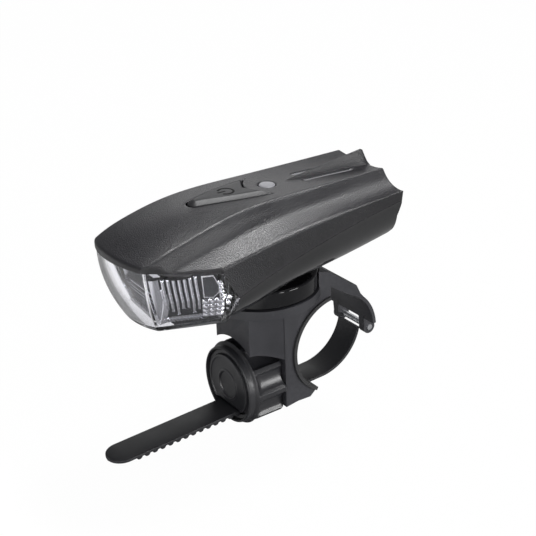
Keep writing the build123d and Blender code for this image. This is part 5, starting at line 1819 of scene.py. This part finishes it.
@dataclass
class Knob:
    """The tightening knob: rounded rim, scooped flutes, and the stepped cap in its front."""

    axis_z: float = -9.7
    rim: tuple[Pair, ...] = (
        (11.98, -32.2), (11.98, -33.7), (12.1, -33.92), (12.3, -34.0), (12.5, -33.92), (12.72, -33.7),
        (12.8, -33.4), (12.8, -32.2), (12.84, -31.9), (13.1, -31.6), (13.5, -31.35), (13.8, -31.0),
        (13.95, -30.6), (14.0, -30.2),
    )
    grip: tuple[float, float, float] = (14.0, -29.8, -21.0)
    back: tuple[Pair, ...] = ((13.95, -20.7), (13.75, -20.4), (13.5, -20.3), (11.2, -20.3), (10.85, -20.45),
                              (10.85, -31.9), (11.98, -32.2))
    flutes: int = 10
    scoop: float = 2.0
    scoop_reach: float = 0.248
    scoop_start: float = -30.9
    scoop_ramp: float = 2.6
    scoop_over: float = 12.9
    sides: int = 360
    cap: tuple[Pair, ...] = (
        (0.01, -33.45), (3.9, -33.45), (4.25, -33.50), (4.4, -33.75), (4.6, -33.98), (4.9, -34.02),
        (5.2, -33.95), (5.45, -33.72), (5.8, -33.66), (9.1, -33.66), (9.35, -33.72), (9.5, -33.95),
        (9.8, -34.02), (10.15, -33.95), (10.35, -33.6), (10.45, -33.1), (11.5, -33.1), (11.62, -32.9),
        (11.62, -32.25), (0.01, -32.25),
    )
    cap_floor: float = -16.6

    def build_knob(self) -> None:
        """Builds the knob: a turned profile whose radius dips in scoops that start behind the rim."""
        along = np.linspace(*self.grip[1:], 24)
        grip = np.column_stack([np.full(len(along), self.grip[0]), along])
        profile = np.vstack([self.rim, grip, self.back])
        sides, pitch = self.sides, 2 * math.pi / self.flutes
        offset = (np.arange(sides) * 2 * math.pi / sides % pitch) - pitch / 2
        dish = np.sqrt(np.clip(1 - (offset / self.scoop_reach) ** 2, 0, 1))
        run = np.clip((profile[:, 1] - self.scoop_start) / self.scoop_ramp, 0, 1)
        scooped = (profile[:, 0] > self.scoop_over) & (np.arange(len(profile)) > 8)
        ramp = np.sqrt(np.clip(1 - (1 - run) ** 2, 0, 1)) * scooped
        shape = -self.scoop * ramp[:, None] * dish[None]
        soup = Soup().grid(turned(profile, (0.0, self.axis_z), sides, shape), wrap=True)
        knob = soup.build("grip_knob", crease=32.0, weld=0.001)
        dress(knob, "knob_plastic", Body.KNOB, "knob_plastic", "clamp_knob")

    def build_cap(self) -> None:
        """Builds the cap: concentric steps round a bare shallow centre, cut flat above the strap."""
        grid = turned(np.array(self.cap), (0.0, self.axis_z), 180)
        grid[..., 2] = np.maximum(grid[..., 2], self.cap_floor)
        cap = Soup().grid(grid, wrap=True).build("cap_disc", crease=32.0, weld=0.003)
        dress(cap, "knob_plastic", Body.BRACKET, "cap_plastic", "knob_cap")


@dataclass
class Flare:
    """The web on each side of the bracket, from its front block out to the hoop, above the knob."""

    inner_x: float = 9.2
    outer_x: float = 12.99
    front_y: float = -30.7
    rear_y: float = -19.6
    top_z: float = 17.9
    knob_z: float = -9.7
    pocket: float = 16.1

    def build(self) -> None:
        """Builds the webs: upright sides that widen towards the rear, hollowed round the knob's axis."""
        share = np.linspace(0.0, 1.0, 16)
        outer = self.inner_x + 0.1 + (self.outer_x - self.inner_x - 0.1) * share ** 1.35
        y = self.front_y + (self.rear_y - self.front_y) * share
        across = np.linspace(0.0, 1.0, 7)
        arch_x = self.inner_x + (outer[:, None] - self.inner_x) * across[None]
        arch_z = self.knob_z + np.sqrt(self.pocket ** 2 - arch_x ** 2)
        rise = np.linspace(0.0, 1.0, 9)[1:]
        side_z = arch_z[:, -1:] + (self.top_z - arch_z[:, -1:]) * rise[None]
        side_x = np.repeat(outer[:, None], len(rise), 1)
        back_x = np.full((len(share), 1), self.inner_x)
        x = np.concatenate([arch_x, side_x, back_x], 1)
        z = np.concatenate([arch_z, side_z, np.full((len(share), 1), self.top_z)], 1)
        web = Soup().capped(np.stack([x, np.repeat(y[:, None], x.shape[1], 1), z], -1))
        webs = web.mirrored().build("saddle_webs", crease=40.0)
        dress(webs, "bracket_plastic", Body.BRACKET, "bracket_plastic")


@dataclass
class Strap:
    """The rubber strap: a flat band round the bar and out to the front, toothed underneath."""

    inner: float = 15.95
    thickness: float = 1.6
    half_width: float = 5.2
    corner: float = 0.28
    start: float = -12.0
    leave: float = -87.9
    end_y: float = -78.5
    slope: float = 2.1
    pitch: float = 2.8
    tooth: float = 0.75
    tooth_share: float = 0.33
    teeth_from: float = -71.5
    plain_end: float = 26.0

    def path(self) -> tuple[Array, Array, Array]:
        """Points on the strap's upper, bar-side face: an arc round the bar, then a straight line.

        Returns:
            Rows of y and z, the outward normals there and the way run from the tip in millimetres.
        """
        turn = np.radians(np.linspace(self.start, self.leave, 120))
        normal = np.stack([np.cos(turn), np.sin(turn)], -1)
        bend = normal * self.inner
        y = np.linspace(bend[-1, 0], self.end_y, 320)[1:]
        straight = np.stack([y, bend[-1, 1] - (bend[-1, 0] - y) * math.tan(math.radians(self.slope))], -1)
        line = np.vstack([bend, straight])
        run = np.concatenate([[0.0], np.cumsum(np.linalg.norm(np.diff(line, axis=0), axis=1))])
        return line, np.vstack([normal, np.repeat(normal[-1:], len(y), 0)]), run[-1] - run

    def build(self) -> None:
        """Builds the band: a flat section with rounded lower corners swept along the path, with teeth and
        a round tip."""
        line, normal, run = self.path()
        wide = self.half_width
        tip = np.sqrt(np.maximum(wide ** 2 - (wide - run) ** 2, 0.01))
        width = np.maximum(np.where(run < wide, tip, wide), 0.25)
        first = self.teeth_from - self.end_y
        phase = (run - first) / self.pitch % 1.0
        bump = np.sqrt(np.clip(1 - ((phase - 0.5) / self.tooth_share) ** 2, 0, 1))
        lift = bump * (run > first) * (run < run[0] - self.plain_end)
        depth = self.thickness - self.tooth * 0.75 + self.tooth * lift
        half, deep, turn = width[:, None], depth[:, None], np.linspace(0, math.pi / 2, 4)
        trim = np.minimum(self.corner, half * 0.8)
        across = half - trim + trim * np.concatenate([np.sin(turn), np.cos(turn)])
        down = np.concatenate([trim * (1 - np.cos(turn)), deep - trim + trim * np.sin(turn)], 1)
        across = np.concatenate([across, -across[:, ::-1]], 1)
        down = np.concatenate([down, down[:, ::-1]], 1)
        sheet = np.concatenate([across[..., None], line[:, None] + normal[:, None] * down[..., None]], -1)
        strap = Soup().capped(sheet).build("toothed_strap", crease=35.0)
        dress(strap, "strap_rubber", Body.BRACKET, "strap_rubber", "strap")


class Carried:
    """Frame nodes whose solid is right: shown as welded copies with broken edges, or repainted."""

    COPIES = (
        ("turntable", "swivel_drum", 0.20, "gloss_drum", Body.TURNTABLE, "drum_plastic"),
        ("saddle", "saddle_body", 0.30, "bracket_plastic", Body.BRACKET, "bracket_plastic"),
        ("bar_liner", "saddle_liner", 0.15, "soft_rubber", Body.BRACKET, "liner_rubber"),
        ("slide_shoe", "slide_rail", 0.15, "bracket_plastic", Body.LIGHT, "shoe_plastic"),
        ("port_cover", "port_flap", 0.15, "soft_rubber", Body.PORT_COVER, "port_rubber"),
        ("cell_foam", "foam_pad", 0.08, "soft_rubber", Body.LIGHT, "foam"),
        ("shell_gasket", "seam_seal", 0.0, "soft_rubber", Body.LIGHT, "gasket_rubber"),
    )
    REPAINTS = {
        "phosphor": ("led_emitter",),
        "board_white": ("led_board", "indicator_led"),
        "raw_aluminium": ("heat_sink",),
        "foil_pouch": ("battery_cell",),
        "board_green": ("circuit_board",),
        "switch_plastic": ("tact_switch",),
        "plunger_plastic": ("switch_plunger",),
        "wire_jacket": ("battery_leads", "led_leads"),
        "nylon": ("friction_washer",),
        "plated_steel": ("charge_socket", "casing_screws", "shoe_screws", "pivot_screw", "anchor_pin"),
    }

    def build(self) -> None:
        """Makes the copies and repaints the rest."""
        for node, name, edge, finish, body, slot in self.COPIES:
            dress(solid_copy(node, name, edge), finish, body, slot, node)
        for finish, nodes in self.REPAINTS.items():
            for node in nodes:
                paint(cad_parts[node], finish)


def straight_view(t: Tree, path: Node) -> Socket:
    """1 for rays that come from the camera, through clear parts too, but off no surface; else 0.

    Args:
        t: the tree to add to.
        path: its light path node.

    Returns:
        The mask's socket.
    """
    seen = t.math("MAXIMUM", path.outputs["Is Camera Ray"], path.outputs["Is Transmission Ray"])
    bounced = t.math("ADD", path.outputs["Glossy Depth"], path.outputs["Diffuse Depth"])
    return t.math("MULTIPLY", seen, t.math("LESS_THAN", bounced, 0.5))


@dataclass
class Stage:
    """Pale floor and backdrop, soft lamps and the camera at the photograph's angle."""

    azimuth: float = 54.56
    elevation: float = 25.18
    roll: float = -1.71
    distance: float = 400.35
    focal: float = 1247.2
    sensor: float = 36.0
    centre: Pair = (278.25, 265.0)
    target: Point = (-3.88, -9.75, 24.01)
    frame_px: float = 536.0
    floor_z: float = -38.0
    floor_reach: float = 4000.0
    floor_glow: float = 0.955
    glow_strength: float = 1.03
    shade_y: Pair = (-0.13, -0.09)
    shade_tone: Pair = (0.72, 0.20)
    room_light: float = 0.20
    room_gloss: float = 0.16
    room_colour: Colour = (0.97, 0.985, 1.0)

    LAMPS = (
        # name, place and aim in metres, size, power
        ("back_key", (0.12, 0.25, 0.96), (0.0, -0.02, 0.03), (0.26, 0.24), 12.5),
        ("left_rim", (-0.80, 0.46, 0.34), (0.0, -0.02, 0.03), (0.40, 0.40), 0.8),
        ("front_strip", (0.72, -0.86, 0.34), (0.0, -0.02, 0.03), (0.14, 0.80), 3.4),
        ("side_strip", (1.15, 0.10, 0.22), (0.0, -0.02, 0.03), (0.12, 0.60), 2.2),
        ("knob_card", (0.84, 0.50, 0.13), (0.01, -0.01, 0.0), (0.34, 0.30), 3.6),
    )

    def build_camera(self) -> None:
        """Places the camera and sets its lens and shift."""
        a, e, roll = (math.radians(v) for v in (self.azimuth, self.elevation, self.roll))
        back = Vector((math.sin(a) * math.cos(e), -math.cos(a) * math.cos(e), math.sin(e)))
        right = Vector((math.cos(a), math.sin(a), 0.0))
        up = back.cross(right)
        across = right * math.cos(roll) + up * math.sin(roll)
        high = up * math.cos(roll) - right * math.sin(roll)
        place = (Vector(self.target) + back * self.distance) * MM
        data = bpy.data.cameras.new("photo_camera")
        camera = bpy.data.objects.new("photo_camera", data)
        bpy.context.scene.collection.objects.link(camera)
        turned_to = Matrix((across, high, back)).transposed().to_4x4()
        camera.matrix_world = Matrix.Translation(place) @ turned_to
        data.sensor_width = self.sensor
        data.lens = self.focal / self.frame_px * self.sensor
        data.shift_x = (self.frame_px / 2 - self.centre[0]) / self.frame_px
        data.shift_y = (self.centre[1] - self.frame_px / 2) / self.frame_px
        data.clip_start, data.clip_end = 0.01, 60.0
        bpy.context.scene.camera = camera

    def build_world(self) -> None:
        """A pale even surround: white to the camera, softer as light and in reflections."""
        world = bpy.data.worlds.new("pale_room")
        bpy.context.scene.world = world
        t = Tree.of(world)
        path = t.add("ShaderNodeLightPath")
        other = t.spread(path.outputs["Is Glossy Ray"], 0.0, 1.0, self.room_light, self.room_gloss)
        strength = t.spread(straight_view(t, path), 0.0, 1.0, other, 1.0)
        shade = t.add("ShaderNodeBackground", {"Color": (*self.room_colour, 1.0), "Strength": strength})
        t.add("ShaderNodeOutputWorld", {"Surface": shade.outputs[0]})

    def floor_material(self) -> Material:
        """Pale and matte, darker under and behind the object, white to the camera, clear from below.

        Returns:
            The material.
        """
        material = bpy.data.materials.new("pale_floor")
        t = Tree.of(material)
        where = t.object_place()
        rough = t.spread(t.noise(where, 3.0), 0.3, 0.7, 0.75, 0.9)
        ahead = t.add("ShaderNodeSeparateXYZ", {"Vector": where}).outputs["Y"]
        pale = t.spread(ahead, *self.shade_y, *self.shade_tone)
        tone = t.add("ShaderNodeCombineColor", {"Red": pale, "Green": pale, "Blue": pale})
        matte = t.add("ShaderNodeBsdfPrincipled", {"Base Color": tone.outputs[0], "Roughness": rough})
        glow = t.add("ShaderNodeEmission", {"Color": (1.0, 1.0, 1.0, 1.0), "Strength": self.glow_strength})
        share = t.math("MULTIPLY", straight_view(t, t.add("ShaderNodeLightPath")), self.floor_glow)
        mixed = t.add("ShaderNodeMixShader", {0: share, 1: matte.outputs[0], 2: glow.outputs[0]})
        behind = t.add("ShaderNodeNewGeometry").outputs["Backfacing"]
        clear = t.add("ShaderNodeBsdfTransparent")
        cover = t.add("ShaderNodeMixShader", {0: behind, 1: mixed.outputs[0], 2: clear.outputs[0]})
        t.add("ShaderNodeOutputMaterial", {"Surface": cover.outputs[0]})
        return material

    def build_floor(self) -> None:
        """A wide pale floor that keeps a soft shadow."""
        x, y = np.meshgrid(*[np.linspace(-self.floor_reach, self.floor_reach, 9)] * 2)
        soup = Soup().grid(np.stack([x, y, np.full_like(x, self.floor_z)], -1))
        floor = soup.build("floor", heart=(0.0, 0.0, -500.0))
        floor.data.materials.append(self.floor_material())
        floor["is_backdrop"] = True

    def build_lamps(self) -> None:
        """Rectangular soft lamps, each turned towards its aim."""
        for name, place, aim, size, power in self.LAMPS:
            data = bpy.data.lights.new(name, "AREA")
            data.shape = "RECTANGLE"
            data.size, data.size_y = size
            data.energy = power
            lamp = bpy.data.objects.new(name, data)
            bpy.context.scene.collection.objects.link(lamp)
            lamp.location = place
            lamp.rotation_euler = (Vector(aim) - Vector(place)).to_track_quat("-Z", "Y").to_euler()

    def build(self) -> None:
        """Builds the camera, world, floor and lamps."""
        self.build_camera()
        self.build_world()
        self.build_floor()
        self.build_lamps()


def corners() -> list[list[float]]:
    """The shown object's lowest and highest corner as plain numbers."""
    return [list(corner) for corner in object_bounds()]


def main() -> None:
    """Builds every sub-assembly in order."""
    logging.basicConfig(level=logging.INFO, format="%(name)s %(message)s")
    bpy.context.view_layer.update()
    Stage().build()
    top, bottom, controls, knob = TopShell(), BottomShell(), Controls(), Knob()
    for make in (top.build, top.build_fin, top.build_ribs, bottom.build, bottom.build_pad,
                 controls.build_button, controls.build_symbol, controls.build_window, Optics().build_lens,
                 Insert().build, knob.build_knob, knob.build_cap, Flare().build, Strap().build,
                 Carried().build):
        make()
    bpy.context.scene.view_settings.view_transform = "Standard"


if __name__ == "__main__":
    main()
